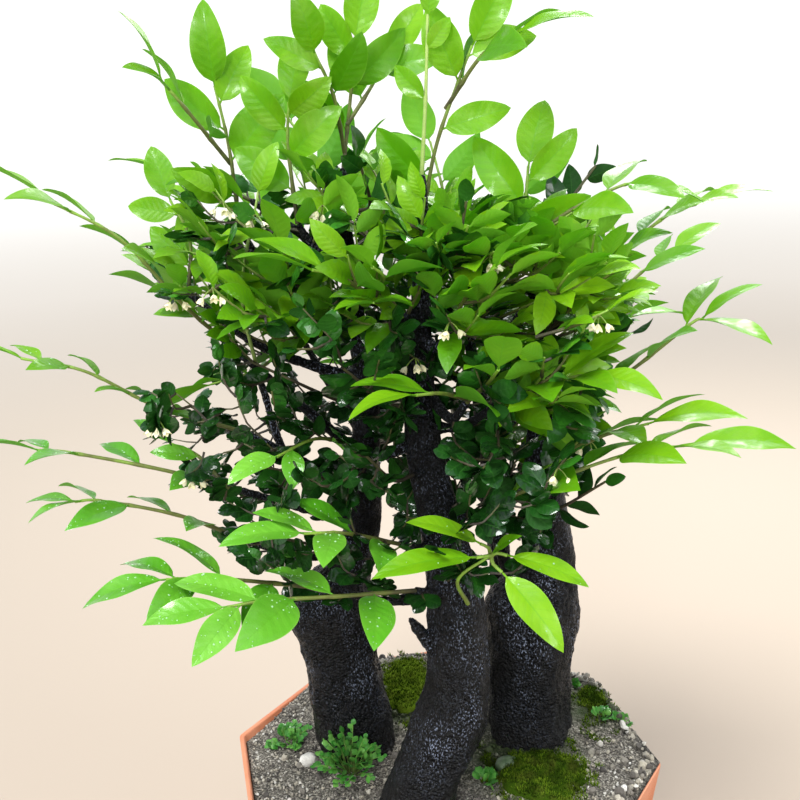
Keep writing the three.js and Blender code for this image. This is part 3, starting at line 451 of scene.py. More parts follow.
grain_look, tree, shader = shaded("grit_grains", roughness=0.8)
marks = grouped(tree, mottle, {"Patch Scale": 70.0, "Grain Scale": 2200.0})
grain_body = ramp(tree, own_tone(tree), [
    (0.0, (0.02, 0.018, 0.016)), (0.2, (0.09, 0.08, 0.068)), (0.4, (0.24, 0.22, 0.18)),
    (0.6, (0.4, 0.36, 0.28)), (0.78, (0.52, 0.5, 0.45)), (0.92, (0.72, 0.7, 0.64)), (1.0, (0.88, 0.87, 0.82)),
])
grain_dirt = remapped(tree, marks["Grain"], 0.35, 1.0, 0.0, 0.45)
grain_colour = mixed(tree, grain_dirt, grain_body, (0.12, 0.1, 0.085, 1))
finish(tree, shader, algae(tree, marks, grain_colour), None, marks["Grain"], 0.0003, 0.7)

GOLD = (1 + math.sqrt(5)) / 2
STONE_POINTS = np.array([
    (-1, GOLD, 0), (1, GOLD, 0), (-1, -GOLD, 0), (1, -GOLD, 0), (0, -1, GOLD), (0, 1, GOLD),
    (0, -1, -GOLD), (0, 1, -GOLD), (GOLD, 0, -1), (GOLD, 0, 1), (-GOLD, 0, -1), (-GOLD, 0, 1),
]) / math.sqrt(1 + GOLD**2)
STONE_FACES = [
    (0, 11, 5), (0, 5, 1), (0, 1, 7), (0, 7, 10), (0, 10, 11), (1, 5, 9), (5, 11, 4), (11, 10, 2), (10, 7, 6),
    (7, 1, 8), (3, 9, 4), (3, 4, 2), (3, 2, 6), (3, 6, 8), (3, 8, 9), (4, 9, 5), (2, 4, 11), (6, 2, 10),
    (8, 6, 7), (9, 8, 1),
]


def finer(points, faces):
    """A ball of triangles with each face split in four."""
    points = [tuple(p) for p in points]
    halves = {}

    def half(a, b):
        key = (min(a, b), max(a, b))
        if key not in halves:
            middle = np.add(points[a], points[b])
            points.append(tuple(middle / np.linalg.norm(middle)))
            halves[key] = len(points) - 1
        return halves[key]

    split = []
    for a, b, c in faces:
        ab, bc, ca = half(a, b), half(b, c), half(c, a)
        split += [(a, ab, ca), (b, bc, ab), (c, ca, bc), (ab, bc, ca)]
    return np.array(points), split


BALL = finer(STONE_POINTS, STONE_FACES)
ROUND_FROM = 3.4  # the size from which a grain gets more faces
dice = np.random.default_rng(11)


def turned_at_random(points):
    """The points turned any way round."""
    q = dice.normal(size=4)
    w, x, y, z = q / np.linalg.norm(q)
    turn = np.array([
        [1 - 2 * (y * y + z * z), 2 * (x * y - w * z), 2 * (x * z + w * y)],
        [2 * (x * y + w * z), 1 - 2 * (x * x + z * z), 2 * (y * z - w * x)],
        [2 * (x * z - w * y), 2 * (y * z + w * x), 1 - 2 * (x * x + y * y)],
    ])
    return points @ turn.T


def grain(heap, x, y, size, lift=0.0):
    """One angular grain lying on the grit, darker the nearer it lies to a trunk."""
    points, faces = BALL if size > ROUND_FROM else (STONE_POINTS, STONE_FACES)
    rough = points * (1 + dice.uniform(-0.22, 0.18, (len(points), 1)))
    body = turned_at_random(rough * dice.uniform(0.62, 1.1, 3)) * size / 2
    edge_high = POT_HEIGHT - 4.2 + EDGE_BELOW_RIM * spill(math.atan2(y, x))
    high = max(float(grit_height(x, y)), float(edge_high))
    trunk_nearness = max(math.exp(-(math.hypot(x - cx, y - cy) - r) / 14) for cx, cy, r in TRUNK_FEET)
    tone = dice.beta(1.5, 1.7) * (1 - 0.6 * min(1.0, trunk_nearness))
    heap.add(body + [x, y, high + 0.18 * size + lift], faces, tone=float(tone))


for name, number in (("grains_fine", 5400), ("grains_coarse", 330), ("grains_spilt", 340)):
    spilt = name == "grains_spilt"
    heap = Heap()
    made = 0
    while made < number:
        a = dice.uniform(SPILL_FROM + 0.15, SPILL_TO - 0.15) if spilt else dice.uniform(0, 2 * math.pi)
        size = dice.uniform(0.9, 2.5) if name == "grains_fine" else 2.2 + 3.2 * dice.random() ** 2
        reach = float(octagon_reach(POT_CORNER - size / 2 - (1.5 if spilt else POT_WALL + 1.5), a))
        reach *= dice.uniform(0.955, 1) if spilt else math.sqrt(dice.random())
        x, y = reach * math.cos(a), reach * math.sin(a)
        if clear_of_trunks(x, y):
            grain(heap, x, y, size, 3.5 * dice.random() ** 2 if spilt else 0.0)
            made += 1
    piece(name, heap, [grain_look], crease=25)


# Pebbles: two larger river stones half bedded in the grit, rounded and speckled, one of them green
# with algae.
PEBBLES = [
    ("pebble_green", (38, -22), (7.5, 6, 5), (0.03, 0.06, 0.02), (0.12, 0.17, 0.09)),
    ("pebble_pale", (-82, -6), (6, 5, 4.5), (0.42, 0.4, 0.36), (0.68, 0.66, 0.6)),
]
for index, (name, (x, y), half, dark, light) in enumerate(PEBBLES):
    stone_look, tree, shader = shaded(name, roughness=0.6)
    marks = grouped(tree, mottle, {"Patch Scale": 160.0, "Grain Scale": 1500.0})
    stone_body = ramp(tree, marks["Patch"], [(0.15, dark), (0.85, light)])
    freckled = remapped(tree, marks["Grain"], 0.0, 0.25, 0.7, 0.0)
    stone_colour = mixed(tree, freckled, stone_body, (0.05, 0.05, 0.045, 1))
    finish(tree, shader, stone_colour, None, marks["Grain"], 0.0002, 0.5)
    points, faces = finer(*finer(*BALL))
    lumpy = points * (1 + rumple(points + index, 0.9, 0.16) + rumple(points - index, 0.35, 0.05))[:, None]
    turn = np.array([[math.cos(0.4), math.sin(0.4), 0], [-math.sin(0.4), math.cos(0.4), 0], [0, 0, 1]])
    heap = Heap()
    heap.add(lumpy * half @ turn + [x, y, float(grit_height(x, y)) + 1], faces)
    piece(name + "_stone", heap, [stone_look], [name], crease=180)


# Moss: three bright cushions on the damp grit, made of thousands of fine upright shoots on a low
# bumpy mound, and ragged where single shoots stand between the grains.
MOSS_PATCHES = [  # node, middle, half widths, height, shoots, how much fresher its green is
    ("moss_back", (-24, 71), (16, 33), 5, 4200, 0.4),
    ("moss_right_front", (59, -33), (26, 22), 7, 5600, 0.0),
    ("moss_right_back", (98, 44), (9, 14), 4, 1300, 0.1),
]
MOSS_FILM = [  # middle, half widths, shoots: thin moss between the grains, round the cushions
    ((48, -16), (40, 24), 4200), ((96, 32), (20, 34), 1600), ((-22, 62), (24, 46), 1500),
]
moss_look, tree, shader = shaded("moss", roughness=0.9)
shader.inputs["Specular IOR Level"].default_value = 0.05
marks = grouped(tree, mottle, {"Patch Scale": 130.0, "Grain Scale": 1600.0})
moss_stops = [(0.0, (0.006, 0.014, 0.001)), (0.5, (0.05, 0.105, 0.004)), (1.0, (0.27, 0.41, 0.025))]
moss_body = ramp(tree, own_tone(tree), moss_stops)
moss_dry = remapped(tree, marks["Patch"], 0.4, 1.0, 0.0, 0.45)
moss_colour = mixed(tree, moss_dry, moss_body, (0.09, 0.09, 0.015, 1))
finish(tree, shader, moss_colour, None, marks["Grain"], 0.0006, 0.8)

MOSS_ROUND, MOSS_RINGS = 56, 14
SHOOT_CORNERS = (0, 2.094, 4.189)


def moss_shoot(heap, x, y, z, tall, tone):
    """One upright shoot of moss: a slim three-sided spike, dark at its foot."""
    wide, turn = dice.uniform(0.3, 0.55), dice.uniform(0, 2 * math.pi)
    lean = dice.normal(scale=0.8, size=2)
    feet = [(x + wide * math.cos(turn + w), y + wide * math.sin(turn + w), z) for w in SHOOT_CORNERS]
    points = [*feet, (x + lean[0], y + lean[1], z + tall)]
    heap.add(points, [(0, 2, 1), (0, 1, 3), (1, 2, 3), (2, 0, 3)], tone=[0.15, 0.15, 0.15, tone])


for index, (name, (cx, cy), (rx, ry), high, shoots, fresher) in enumerate(MOSS_PATCHES):
    ground = float(grit_height(cx, cy))

    def moss_top(px, py):
        """The mound's height above the ground, for a place in half widths from its middle."""
        dome = math.sqrt(max(0.0, 1 - px * px - py * py))
        lumps = noise.noise(Vector((px * 3.1 + index, py * 3.1, 2.0)))
        lumps += 0.5 * noise.noise(Vector((px * 9, py * 9, index)))
        return high * dome * (0.75 + 0.7 * lumps)

    rings = []
    for k in range(MOSS_RINGS + 1):
        ring = []
        for i in range(MOSS_ROUND):
            a = 2 * math.pi * i / MOSS_ROUND
            ragged = 1 + 0.13 * noise.noise(Vector((3 * math.cos(a), 3 * math.sin(a), index * 5.0)))
            r = min(0.999, 1 - (k - 1) / MOSS_RINGS) if k else 0.99
            px, py = r * math.cos(a), r * math.sin(a)
            z = ground - 4 if k == 0 else ground + moss_top(px, py)
            ring.append((cx + rx * ragged * px, cy + ry * ragged * py, z))
        rings.append(ring)
    heap = Heap()
    heap.add(*lofted(rings), tone=0.25 + fresher)
    for _ in range(shoots):
        a = dice.uniform(0, 2 * math.pi)
        r = math.sqrt(dice.random()) * 1.5
        px, py = r * math.cos(a), r * math.sin(a)
        x, y = cx + rx * px, cy + ry * py
        patch = noise.noise(Vector((x / 7, y / 7, 1.5)))
        if not clear_of_trunks(x, y) or r > 1 and patch < 0.9 * (r - 1):
            continue
        z = ground + moss_top(px, py) - 0.4 if r < 0.97 else float(grit_height(x, y)) - 0.2
        tone = 0.5 + fresher + 1.1 * patch + 0.5 * (dice.random() - 0.3)
        moss_shoot(heap, x, y, z, dice.uniform(1.4, 3.6), float(np.clip(tone, 0.2, 1)))
    piece(name + "_cushion", heap, [moss_look], [name], crease=180)

heap = Heap()
for (cx, cy), (rx, ry), shoots in MOSS_FILM:
    for _ in range(shoots):
        a, r = dice.uniform(0, 2 * math.pi), math.sqrt(dice.random())
        x, y = cx + rx * r * math.cos(a), cy + ry * r * math.sin(a)
        patch = noise.noise(Vector((x / 9, y / 9, 6.5)))
        if clear_of_trunks(x, y) and patch > 0.5 * r - 0.25:
            tone = float(np.clip(0.5 + 0.7 * patch + 0.3 * dice.random(), 0.25, 1))
            moss_shoot(heap, x, y, float(grit_height(x, y)) + 0.3, dice.uniform(0.9, 2.2), tone)
piece("moss_film", heap, [moss_look], crease=180)


# Trunks: three old stumps and a thinner stem, black and wet, with fine granular bark, root flutes,
# knobs and broken stubs. Thin branches grow from them, and each trunk with its branches is one piece.
UP = (0, -0.35, 1)
OUT = (0, -1, 0.3)
LEVEL = (0, -0.02, 1)
BACK = (0, 0.35, 1)
TRUNKS = [  # name, root flutes, their phase, levels, knobs, stubs
    ("trunk_left", 4, 0.6, [
        (98, -53, 12, 20), (130, -53, 12, 26), (145, -54, 12, 25), (172, -57, 12, 23.5),
        (200, -61, 12, 24), (218, -63, 12, 25.5), (234, -66, 12, 26), (247, -62, 13, 20),
        (260, -52, 14, 13.5), (278, -45, 14, 11), (320, -41, 12, 9), (359, -38, 10, 7.6),
        (430, -44, 8, 4.4), (475, -46, 9, 2.8),
    ], [(226, 3.2, 2), (238, 5.1, 4)], [(((-72, 8, 236), (-78, 4, 252), (-86, 2, 258)), (5, 2.5))]),
    ("trunk_middle", 5, 2.1, [
        (98, -16, -53, 18), (128, -15, -53, 24.5), (143, -14, -53, 22), (157, -10, -52, 20),
        (172, -4, -51, 19), (196, 5, -49, 19.5), (221, 10, -46, 17), (247, 9, -42, 16), (264, 9, -38, 15),
        (290, 4, -30, 12.5), (342, -6, -15, 10), (400, -6, -18, 6.2), (450, -4, -20, 3.8),
        (480, -3, -20, 2.6),
    ], [(252, 5, 3), (182, 0.2, 3)], [(((2, -46, 227), (-9, -50, 243), (-16, -53, 254)), (4.6, 2))]),
    ("trunk_right", 5, 4, [
        (98, 55, 16, 21), (128, 55, 17, 28), (143, 55, 17, 26.5), (167, 54, 18, 25.5), (192, 54, 19, 25.5),
        (213, 56, 21, 27), (232, 57, 22, 26), (245, 62, 23, 19.5), (258, 66, 24, 15.5), (291, 64, 26, 13),
        (330, 64, 28, 9.5), (363, 65, 30, 6.8), (420, 60, 25, 4.2), (448, 57, 20, 2.8),
    ], [(226, 0.1, 2), (237, 3.7, 6)], [(((50, 22, 238), (42, 20, 250), (38, 18, 262)), (6, 3.5))]),
    ("stem_back", 3, 1, [
        (98, 40, 68, 9), (140, 40, 70, 9), (175, 40, 70, 7.5), (238, 40, 60, 6.6), (320, 31, 51, 5.2),
        (400, 20, 46, 3),
    ], [], []),
]
SPRAYS = [  # name, trunk, its branch up to its first stem, stems: path, leaves, leaf size, face, bare share
    ("spray_left_high", "trunk_left", ((-42, 12, 325), (-85, 4, 368)), [
        (((-116, 0, 399), (-132, -20, 423), (-156, -35, 458), (-185, -46, 478)), 8, 50, LEVEL),
    ]),
    ("spray_left_crown", "trunk_left", ((-39, 10, 370), (-95, 8, 392)), [
        (((-132, 0, 424), (-130, 5, 453), (-140, 10, 474)), 4, 34, OUT),
    ]),
    ("spray_left_top", "trunk_left", ((-44, 8, 430), (-70, 18, 452)), [
        (((-98, 20, 472), (-123, 25, 484), (-145, 28, 488)), 3, 38, LEVEL),
    ]),
    ("spray_left_middle", "trunk_left", ((-42, 13, 300), (-78, 6, 326)), [
        (((-108, -8, 348), (-147, -25, 367), (-181, -35, 390), (-212, -40, 399)), 7, 31, LEVEL),
    ]),
    ("spray_left_low", "trunk_left", ((-45, 14, 284), (-78, -5, 301)), [
        (((-106, -28, 320), (-141, -45, 338), (-185, -58, 353), (-200, -62, 356)), 5, 34, LEVEL),
        (((-112, -32, 323), (-130, -20, 338), (-146, -15, 344)), 2, 26, UP),
    ]),
    ("spray_left_foot", "trunk_left", ((-49, 14, 267), (-80, 2, 268)), [
        (((-107, -18, 287), (-139, -35, 309), (-177, -45, 322), (-190, -48, 323)), 6, 36, LEVEL),
    ]),
    ("spray_front_left_low", "trunk_middle", ((9, -38, 266), (-26, -47, 262)), [
        (((-57, -52, 272), (-99, -80, 291), (-121, -90, 297), (-132, -95, 299)), 5, 41, UP),
    ]),
    ("spray_front_left", "trunk_middle", ((6, -34, 278), (0, -50, 268)), [
        (((-12, -62, 275), (-48, -90, 286), (-81, -110, 294), (-98, -118, 295)), 6, 45, UP),
    ]),
    ("spray_front_left_high", "trunk_middle", ((3, -28, 296), (-8, -42, 290)), [
        (((-20, -50, 296), (-45, -78, 314), (-64, -92, 320)), 5, 39, UP),
    ]),
    ("spray_front_middle", "trunk_middle", ((-6, -15, 344), (-30, -10, 332)), [
        (((-50, -14, 342), (-62, -48, 354), (-78, -70, 352)), 4, 28, (0, -0.8, 0.7)),
    ]),
    ("sprouts_front", "trunk_middle", ((12, -40, 256), (13, -50, 260)), [
        (((15, -60, 266), (10, -73, 286), (27, -82, 303)), 1, 22, UP),
        (((27, -81, 302), (24, -84, 303), (19, -87, 303.5)), 1, 54, UP),
        (((26, -79, 301), (25, -81, 306), (21, -83, 309)), 1, 38, UP),
        (((26, -81, 302), (29, -83, 304), (34, -84, 303)), 1, 46, UP),
        (((26, -81, 302), (27, -85, 299), (31, -88, 296)), 1, 44, UP),
    ]),
    ("spray_right_long", "trunk_middle", ((0, -26, 306), (8, -38, 303)), [
        (((16, -45, 309), (56, -60, 332), (96, -69, 349), (122, -74, 354)), 7, 48, LEVEL),
    ]),
    ("spray_right_middle", "trunk_right", ((64, 27, 305), (68, 0, 314)), [
        (((70, -18, 334), (92, -34, 349), (110, -42, 356)), 4, 46, LEVEL),
    ]),
    ("spray_right_front", "trunk_middle", ((-6, -15, 350), (15, -24, 352)), [
        (((34, -40, 369), (56, -66, 385), (74, -80, 392)), 5, 43, UP),
    ]),
    ("spray_right_high", "trunk_right", ((65, 30, 345), (76, 16, 344)), [
        (((82, 0, 358), (107, -10, 377), (136, -15, 402), (142, -16, 405)), 5, 49, LEVEL),
    ]),
    ("spray_right_crown", "trunk_right", ((61, 26, 402), (68, 18, 396)), [
        (((74, 10, 404), (103, 10, 437), (128, 6, 458), (142, 4, 463)), 7, 41, LEVEL),
    ]),
    ("spray_top_right", "trunk_right", ((60, 25, 418), (42, 12, 396)), [
        (((28, 2, 406), (44, -5, 445), (50, -8, 468), (52, -8, 486)), 5, 44, OUT),
        (((41, -4, 436), (66, -15, 459), (92, -20, 473), (104, -24, 477)), 5, 44, UP),
    ]),
    ("spray_top_middle", "trunk_middle", ((-4, -19, 440), (-8, -8, 438)), [
        (((-6, 0, 446), (4, -4, 495), (18, -8, 532), (24, -8, 546)), 5, 42, OUT),
        (((10, -5, 516), (28, -18, 540), (44, -24, 549)), 4, 44, UP),
    ]),
    ("spray_top_left", "trunk_left", ((-46, 9, 470), (-46, 9, 480)), [
        (((-45, 9, 488), (-39, 10, 528), (-36, 9, 552)), 4, 38, OUT),
        (((-44, 9, 496), (-47, -6, 524), (-55, -13, 545)), 4, 38, OUT),
        (((-42, 9, 510), (-28, 14, 530), (-20, 16, 544)), 3, 38, OUT),
    ]),
    ("spray_far_top_left", "trunk_left", ((-43, 8, 418), (-80, 12, 422)), [
        (((-103, 10, 456), (-105, 6, 500), (-110, 5, 532)), 5, 44, OUT),
        (((-105, 7, 492), (-122, -12, 520), (-132, -18, 534)), 4, 38, UP),
    ]),
    ("spray_inner_top_left", "trunk_left", ((-45, 8, 448), (-60, 0, 446)), [
        (((-70, -2, 460), (-72, -5, 500), (-70, -8, 522)), 5, 40, OUT),
    ]),
    ("stem_pale_middle", "trunk_middle", ((-4, -20, 460), (-3, -20, 475)), [
        (((-3, -20, 484), (0, -20, 522), (2, -20, 560)), 3, 24, OUT, 0.35),
    ]),
    ("stem_pale_left", "trunk_left", ((-43, 14, 310), (-84, 16, 322)), [
        (((-98, 10, 372), (-101, -8, 425), (-88, -12, 478)), 3, 30, OUT, 0.3),
    ]),
    ("spray_middle_right", "trunk_middle", ((-6, -18, 402), (2, -30, 396)), [
        (((9, -40, 407), (18, -66, 430), (30, -84, 444)), 4, 38, UP),
    ]),
    ("spray_middle_low", "trunk_middle", ((-6, -16, 374), (8, -36, 360)), [
        (((17, -50, 372), (26, -76, 388), (30, -92, 398)), 3, 37, LEVEL),
        (((17, -52, 374), (4, -78, 384), (-8, -92, 387)), 3, 44, UP),
    ]),
    ("spray_middle_left", "trunk_middle", ((-5, -18, 416), (-16, -34, 412)), [
        (((-25, -49, 424), (-42, -72, 440), (-54, -82, 445)), 3, 43, UP),
        (((-27, -54, 428), (-22, -76, 440), (-26, -88, 446)), 2, 34, UP),
    ]),
    ("spray_back_left", "trunk_left", ((-41, 12, 338), (-62, 50, 358)), [
        (((-82, 74, 384), (-112, 98, 410), (-142, 112, 424)), 5, 42, BACK),
        (((-84, 76, 386), (-108, 72, 366), (-138, 64, 358)), 5, 36, BACK),
        (((-88, 80, 390), (-94, 100, 420), (-98, 112, 448)), 4, 36, (0, 1, 0.6)),
    ]),
    ("spray_back_top", "stem_back", ((20, 46, 396), (18, 50, 410)), [
        (((16, 56, 424), (10, 74, 466), (2, 88, 500)), 5, 42, (0, 1, 0.3)),
        (((14, 62, 438), (38, 88, 452), (60, 102, 466)), 4, 36, (0, 1, 0.6)),
        (((14, 64, 442), (-18, 90, 450), (-44, 102, 456)), 4, 36, (0, 1, 0.6)),
    ]),
    ("spray_back_right", "stem_back", ((33, 53, 300), (54, 74, 330)), [
        (((74, 88, 352), (102, 104, 372), (132, 116, 384)), 5, 42, BACK),
        (((84, 94, 362), (94, 98, 394), (100, 98, 424)), 4, 36, (0.5, 1, 0.6)),
        (((78, 90, 354), (66, 112, 336), (60, 124, 322)), 3, 34, BACK),
    ]),
    ("spray_back_low", "stem_back", ((36, 56, 275), (8, 80, 300)), [
        (((-10, 92, 325), (-36, 112, 345), (-62, 124, 356)), 4, 38, BACK),
        (((-14, 96, 330), (10, 110, 346), (30, 120, 362)), 4, 34, (0, 1, 0.8)),
    ]),
    ("spray_back_side", "trunk_right", ((65, 30, 366), (84, 44, 380)), [
        (((100, 54, 396), (126, 68, 418), (148, 78, 430)), 4, 40, LEVEL),
        (((104, 58, 400), (112, 82, 418), (116, 100, 428)), 4, 34, (1, 0.6, 0.8)),
    ]),
    ("spray_back_crown", "trunk_left", ((-45, 8, 452), (-50, 28, 456)), [
        (((-56, 44, 470), (-70, 62, 500), (-86, 74, 522)), 4, 40, (0, 1, 0.4)),
        (((-58, 48, 476), (-42, 76, 486), (-34, 92, 494)), 4, 34, (0, 1, 0.6)),
    ]),
]
TWIGS = [
    ("twigs_left_foot", "trunk_left", (-46, 14, 276), (-70, -14, 282), (-98, -38, 300), 19),
    ("twigs_left_low", "trunk_left", (-41, 12, 318), (-62, -16, 322), (-92, -36, 336), 21),
    ("twigs_left_middle", "trunk_left", (-38, 10, 352), (-62, -20, 372), (-94, -32, 392), 22),
    ("twigs_left_high", "trunk_left", (-41, 9, 395), (-58, -22, 412), (-72, -36, 440), 22),
    ("twigs_left_crown", "trunk_left", (-45, 8, 462), (-30, -16, 470), (-34, -34, 494), 22),
    ("twigs_middle_low", "trunk_middle", (-4, -20, 326), (-22, -46, 330), (-34, -72, 352), 21),
    ("twigs_middle", "trunk_middle", (-6, -15, 356), (-26, -40, 372), (-44, -62, 394), 22),
    ("twigs_middle_high", "trunk_middle", (-4, -20, 436), (12, -42, 442), (18, -56, 472), 22),
    ("twigs_right_low", "trunk_right", (64, 26, 288), (72, 0, 296), (92, -22, 318), 21),
    ("twigs_right_middle", "trunk_right", (65, 30, 352), (84, 22, 372), (110, 16, 392), 22),
    ("twigs_right_front", "trunk_right", (63, 28, 380), (64, -6, 400), (78, -28, 424), 22),
    ("twigs_right_high", "trunk_right", (58, 22, 436), (72, 24, 458), (92, 26, 484), 22),
    ("twigs_back_right", "stem_back", (34, 54, 290), (62, 62, 300), (92, 70, 316), 22),
    ("twigs_back_left", "stem_back", (26, 48, 352), (-6, 62, 372), (-34, 76, 402), 23),
]
TRUNK_SIDES = 10
FLUTE_HEIGHT = 180
FLUTE_TWIST = 0.012  # the turn in each millimetre of height
KNOB_HEIGHT = 13
BARK_SIDES = 72
BARK_STEP = 1.6
BARK_VOXEL = 1.32
BRANCH_RADII = (3.4, 2.1)
TWIG_BRANCH_RADII = (2.4, 1.7)
TWIG_SEAT = 0.45  # how far along its first half a twig is still wood
ROUGH_BELOW = 262


class Path:
    """A smooth Catmull-Rom curve through a few points, with u from 0 to 1 along it."""

    def __init__(self, points):
        p = [np.array(point, float) for point in points]
        self.knots = [2 * p[0] - p[1], *p, 2 * p[-1] - p[-2]]
        self.spans = len(p) - 1

    def at(self, u):
        place = min(max(u, 0.0), 1.0) * self.spans
        i = min(int(place), self.spans - 1)
        w = place - i
        a, b, c, d = self.knots[i : i + 4]
        start, end = 0.5 * (c - a), 0.5 * (d - b)
        return b + start * w + (3 * (c - b) - 2 * start - end) * w**2 + (2 * (b - c) + start + end) * w**3

    def way(self, u):
        step = self.at(min(1, u + 0.01)) - self.at(max(0, u - 0.01))
        return step / np.linalg.norm(step)

    def length(self):
        marks = [self.at(k / 12) for k in range(13)]
        return sum(np.linalg.norm(b - a) for a, b in zip(marks, marks[1:]))


def unit(v):
    return v / np.linalg.norm(v)


def spun(v, axis, angle):
    """A vector turned round an axis."""
    axis = unit(axis)
    c, s = math.cos(angle), math.sin(angle)
    return v * c + np.cross(axis, v) * s + axis * axis.dot(v) * (1 - c)


def tube_rings(path, radius_at, sides, steps):
    """Rings of a round tube along a path, whose radius is a function of u."""
    aside = np.cross(path.way(0), (0.31, 0.9, 0.2))
    rings = []
    for k in range(steps + 1):
        u = k / steps
        way = path.way(u)
        aside = unit(aside - way * way.dot(aside))
        other = np.cross(way, aside)
        turn = 2 * math.pi * np.arange(sides) / sides
        round_about = np.outer(np.cos(turn), aside) + np.outer(np.sin(turn), other)
        rings.append(path.at(u) + round_about * radius_at(u))
    return rings


def through(marks, values, wanted):
    """Values on a smooth curve through given values at given heights."""
    marks, values = np.array(marks, float), np.array(values, float)
    slopes = np.gradient(values, marks)
    i = np.clip(np.searchsorted(marks, wanted) - 1, 0, len(marks) - 2)
    span = marks[i + 1] - marks[i]
    w = (wanted - marks[i]) / span
    rise = values[i + 1] - values[i]
    a, b = slopes[i] * span, slopes[i + 1] * span
    return values[i] + a * w + (3 * rise - 2 * a - b) * w**2 + (a + b - 2 * rise) * w**3


def trunk_rings(levels, flutes, phase, knobs):
    """Rings of a trunk through its levels, with the same flutes, lumps and knobs as its solid."""
    marks = [level[0] for level in levels]
    heights = np.linspace(marks[0], marks[-1], int((marks[-1] - marks[0]) / BARK_STEP))
    x, y, radius = (through(marks, [level[k] for level in levels], heights) for k in (1, 2, 3))
    turn = 2 * math.pi * np.arange(BARK_SIDES) / BARK_SIDES
    lumps = [[0.1 * (draw(k, i, flutes) - 0.5) for k in range(len(levels))] for i in range(TRUNK_SIDES)]
    lumps = np.array([through(marks, row, heights) for row in lumps]).T
    spot = turn / (2 * math.pi) * TRUNK_SIDES
    low = spot.astype(int) % TRUNK_SIDES
    share = 0.5 - 0.5 * np.cos(math.pi * (spot - spot.astype(int)))
    rings = []
    for k, z in enumerate(heights):
        flute = 0.1 * max(0, 1 - (z - marks[0]) / FLUTE_HEIGHT)
        flute = flute * np.cos(flutes * turn + phase + FLUTE_TWIST * z)
        lump = lumps[k, low] * (1 - share) + lumps[k, (low + 1) % TRUNK_SIDES] * share
        reach = radius[k] * (1 + flute + lump)
        for high, side, size in knobs:
            bump = size * math.exp(-(((z - high) / KNOB_HEIGHT) ** 2))
            reach = reach + bump * np.exp((np.cos(turn - side) - 1) * 6)
        rings.append(np.stack([x[k] + reach * np.cos(turn), y[k] + reach * np.sin(turn), z + 0 * turn], 1))
    return rings


noise.seed_set(5)  # the noise vectors follow the clock unless they get a seed


def bark_relief(p):
    """How far the bark stands out at a point, and its tone: paler where it stands out and darker in its
    creases, painted light and shade.
    """
    low = min(1.0, max(0.0, (ROUGH_BELOW + 14 - p[2]) / 28))
    point = Vector(p)
    lump = noise.noise(point / 17) * 2.0 * low
    wavy = point + noise.noise_vector(point / 7) * 2.5
    ridge = noise.noise(Vector((wavy.x / 2.8, wavy.y / 2.8, wavy.z / 7)))
    crease = abs(noise.noise(Vector((wavy.x / 4.6, wavy.y / 4.6, wavy.z / 12))))
    cobble = noise.noise(point / 2.6)
    deep = max(0.0, 0.17 - crease) / 0.17
    depth = 0.35 + 0.65 * low
    relief_light_and_shade = 0.5 + 0.45 * ridge + 0.5 * cobble - 0.6 * deep
    return lump + depth * (0.5 * ridge + 0.45 * cobble - 0.85 * deep), relief_light_and_shade


bark, tree, shader = shaded("black_bark")
shader.inputs["Specular IOR Level"].default_value = 0.24
marks = grouped(tree, mottle, {"Patch Scale": 24.0, "Grain Scale": 800.0})
bark_place = put(tree, "TexCoord").outputs["Object"]
granules = {"Vector": bark_place, "Scale": 600.0, "Randomness": 1.0}
granules = put(tree, "TexVoronoi", granules).outputs["Distance"]
bark_high = put(tree, "SeparateXYZ", {0: bark_place}).outputs["Z"]
bark_stops = [(0.15, (0.0006, 0.0006, 0.0009)), (0.6, (0.0018, 0.002, 0.0028)), (1.0, (0.009, 0.0098, 0.013))]
# The piece's tone carries painted light on the bark's crests and painted shade in its creases.
bark_body = ramp(tree, own_tone(tree), bark_stops)
bark_run = put(tree, "VectorMath", {0: bark_place, 1: (1.0, 1.0, 0.55)}, operation="MULTIPLY").outputs[0]
# The pale bluish specks are painted glints: wet highlights put into the colour, in bands and patches, fainter
# low on the trunks.
glint_specks = put(tree, "TexNoise", {"Vector": bark_run, "Scale": 1250.0, "Detail": 1.0}).outputs["Fac"]
glint_bands = put(tree, "TexNoise", {"Vector": bark_run, "Scale": 45.0, "Detail": 2.0}).outputs["Fac"]
painted_glint = times(tree, remapped(tree, glint_specks, 0.57, 0.67), remapped(tree, glint_bands, 0.42, 0.6, 0.1, 1.0))
painted_glint = times(tree, painted_glint, remapped(tree, marks["Patch"], 0.22, 0.7, 0.12, 1.0))
painted_glint = times(tree, painted_glint, remapped(tree, bark_high, 0.155, 0.2, 0.15, 1.0))
bark_with_painted_glints = mixed(tree, painted_glint, bark_body, (0.24, 0.28, 0.38, 1))
dusty = times(tree, remapped(tree, bark_high, 0.165, 0.136), remapped(tree, marks["Grain"], 0.3, 0.8))
bark_colour = mixed(tree, times(tree, dusty, 0.4), bark_with_painted_glints, (0.03, 0.024, 0.018, 1))
wet = remapped(tree, marks["Patch"], 0.25, 0.8, 0.5, 0.24)
granular = reckoned(tree, "ADD", times(tree, granules, -0.9), times(tree, marks["Grain"], 0.5))
finish(tree, shader, bark_colour, wet, granular, 0.0014, 1.0)


def twig_seat(start, middle):
    """Where the leafy part of a twig starts."""
    return [a + TWIG_SEAT * (b - a) for a, b in zip(start, middle)]


def branches_of(trunk):
    """The branches that a trunk carries, each as a path with its two radii."""
    found = [((*base, stems[0][0][0]), BRANCH_RADII) for _, holder, base, stems in SPRAYS if holder == trunk]
    for _, holder, start, middle, _, _ in TWIGS:
        if holder == trunk:
            seat = twig_seat(start, middle)
            found.append(((start, [0.5 * (a + b) for a, b in zip(start, seat)], seat), TWIG_BRANCH_RADII))
    return found


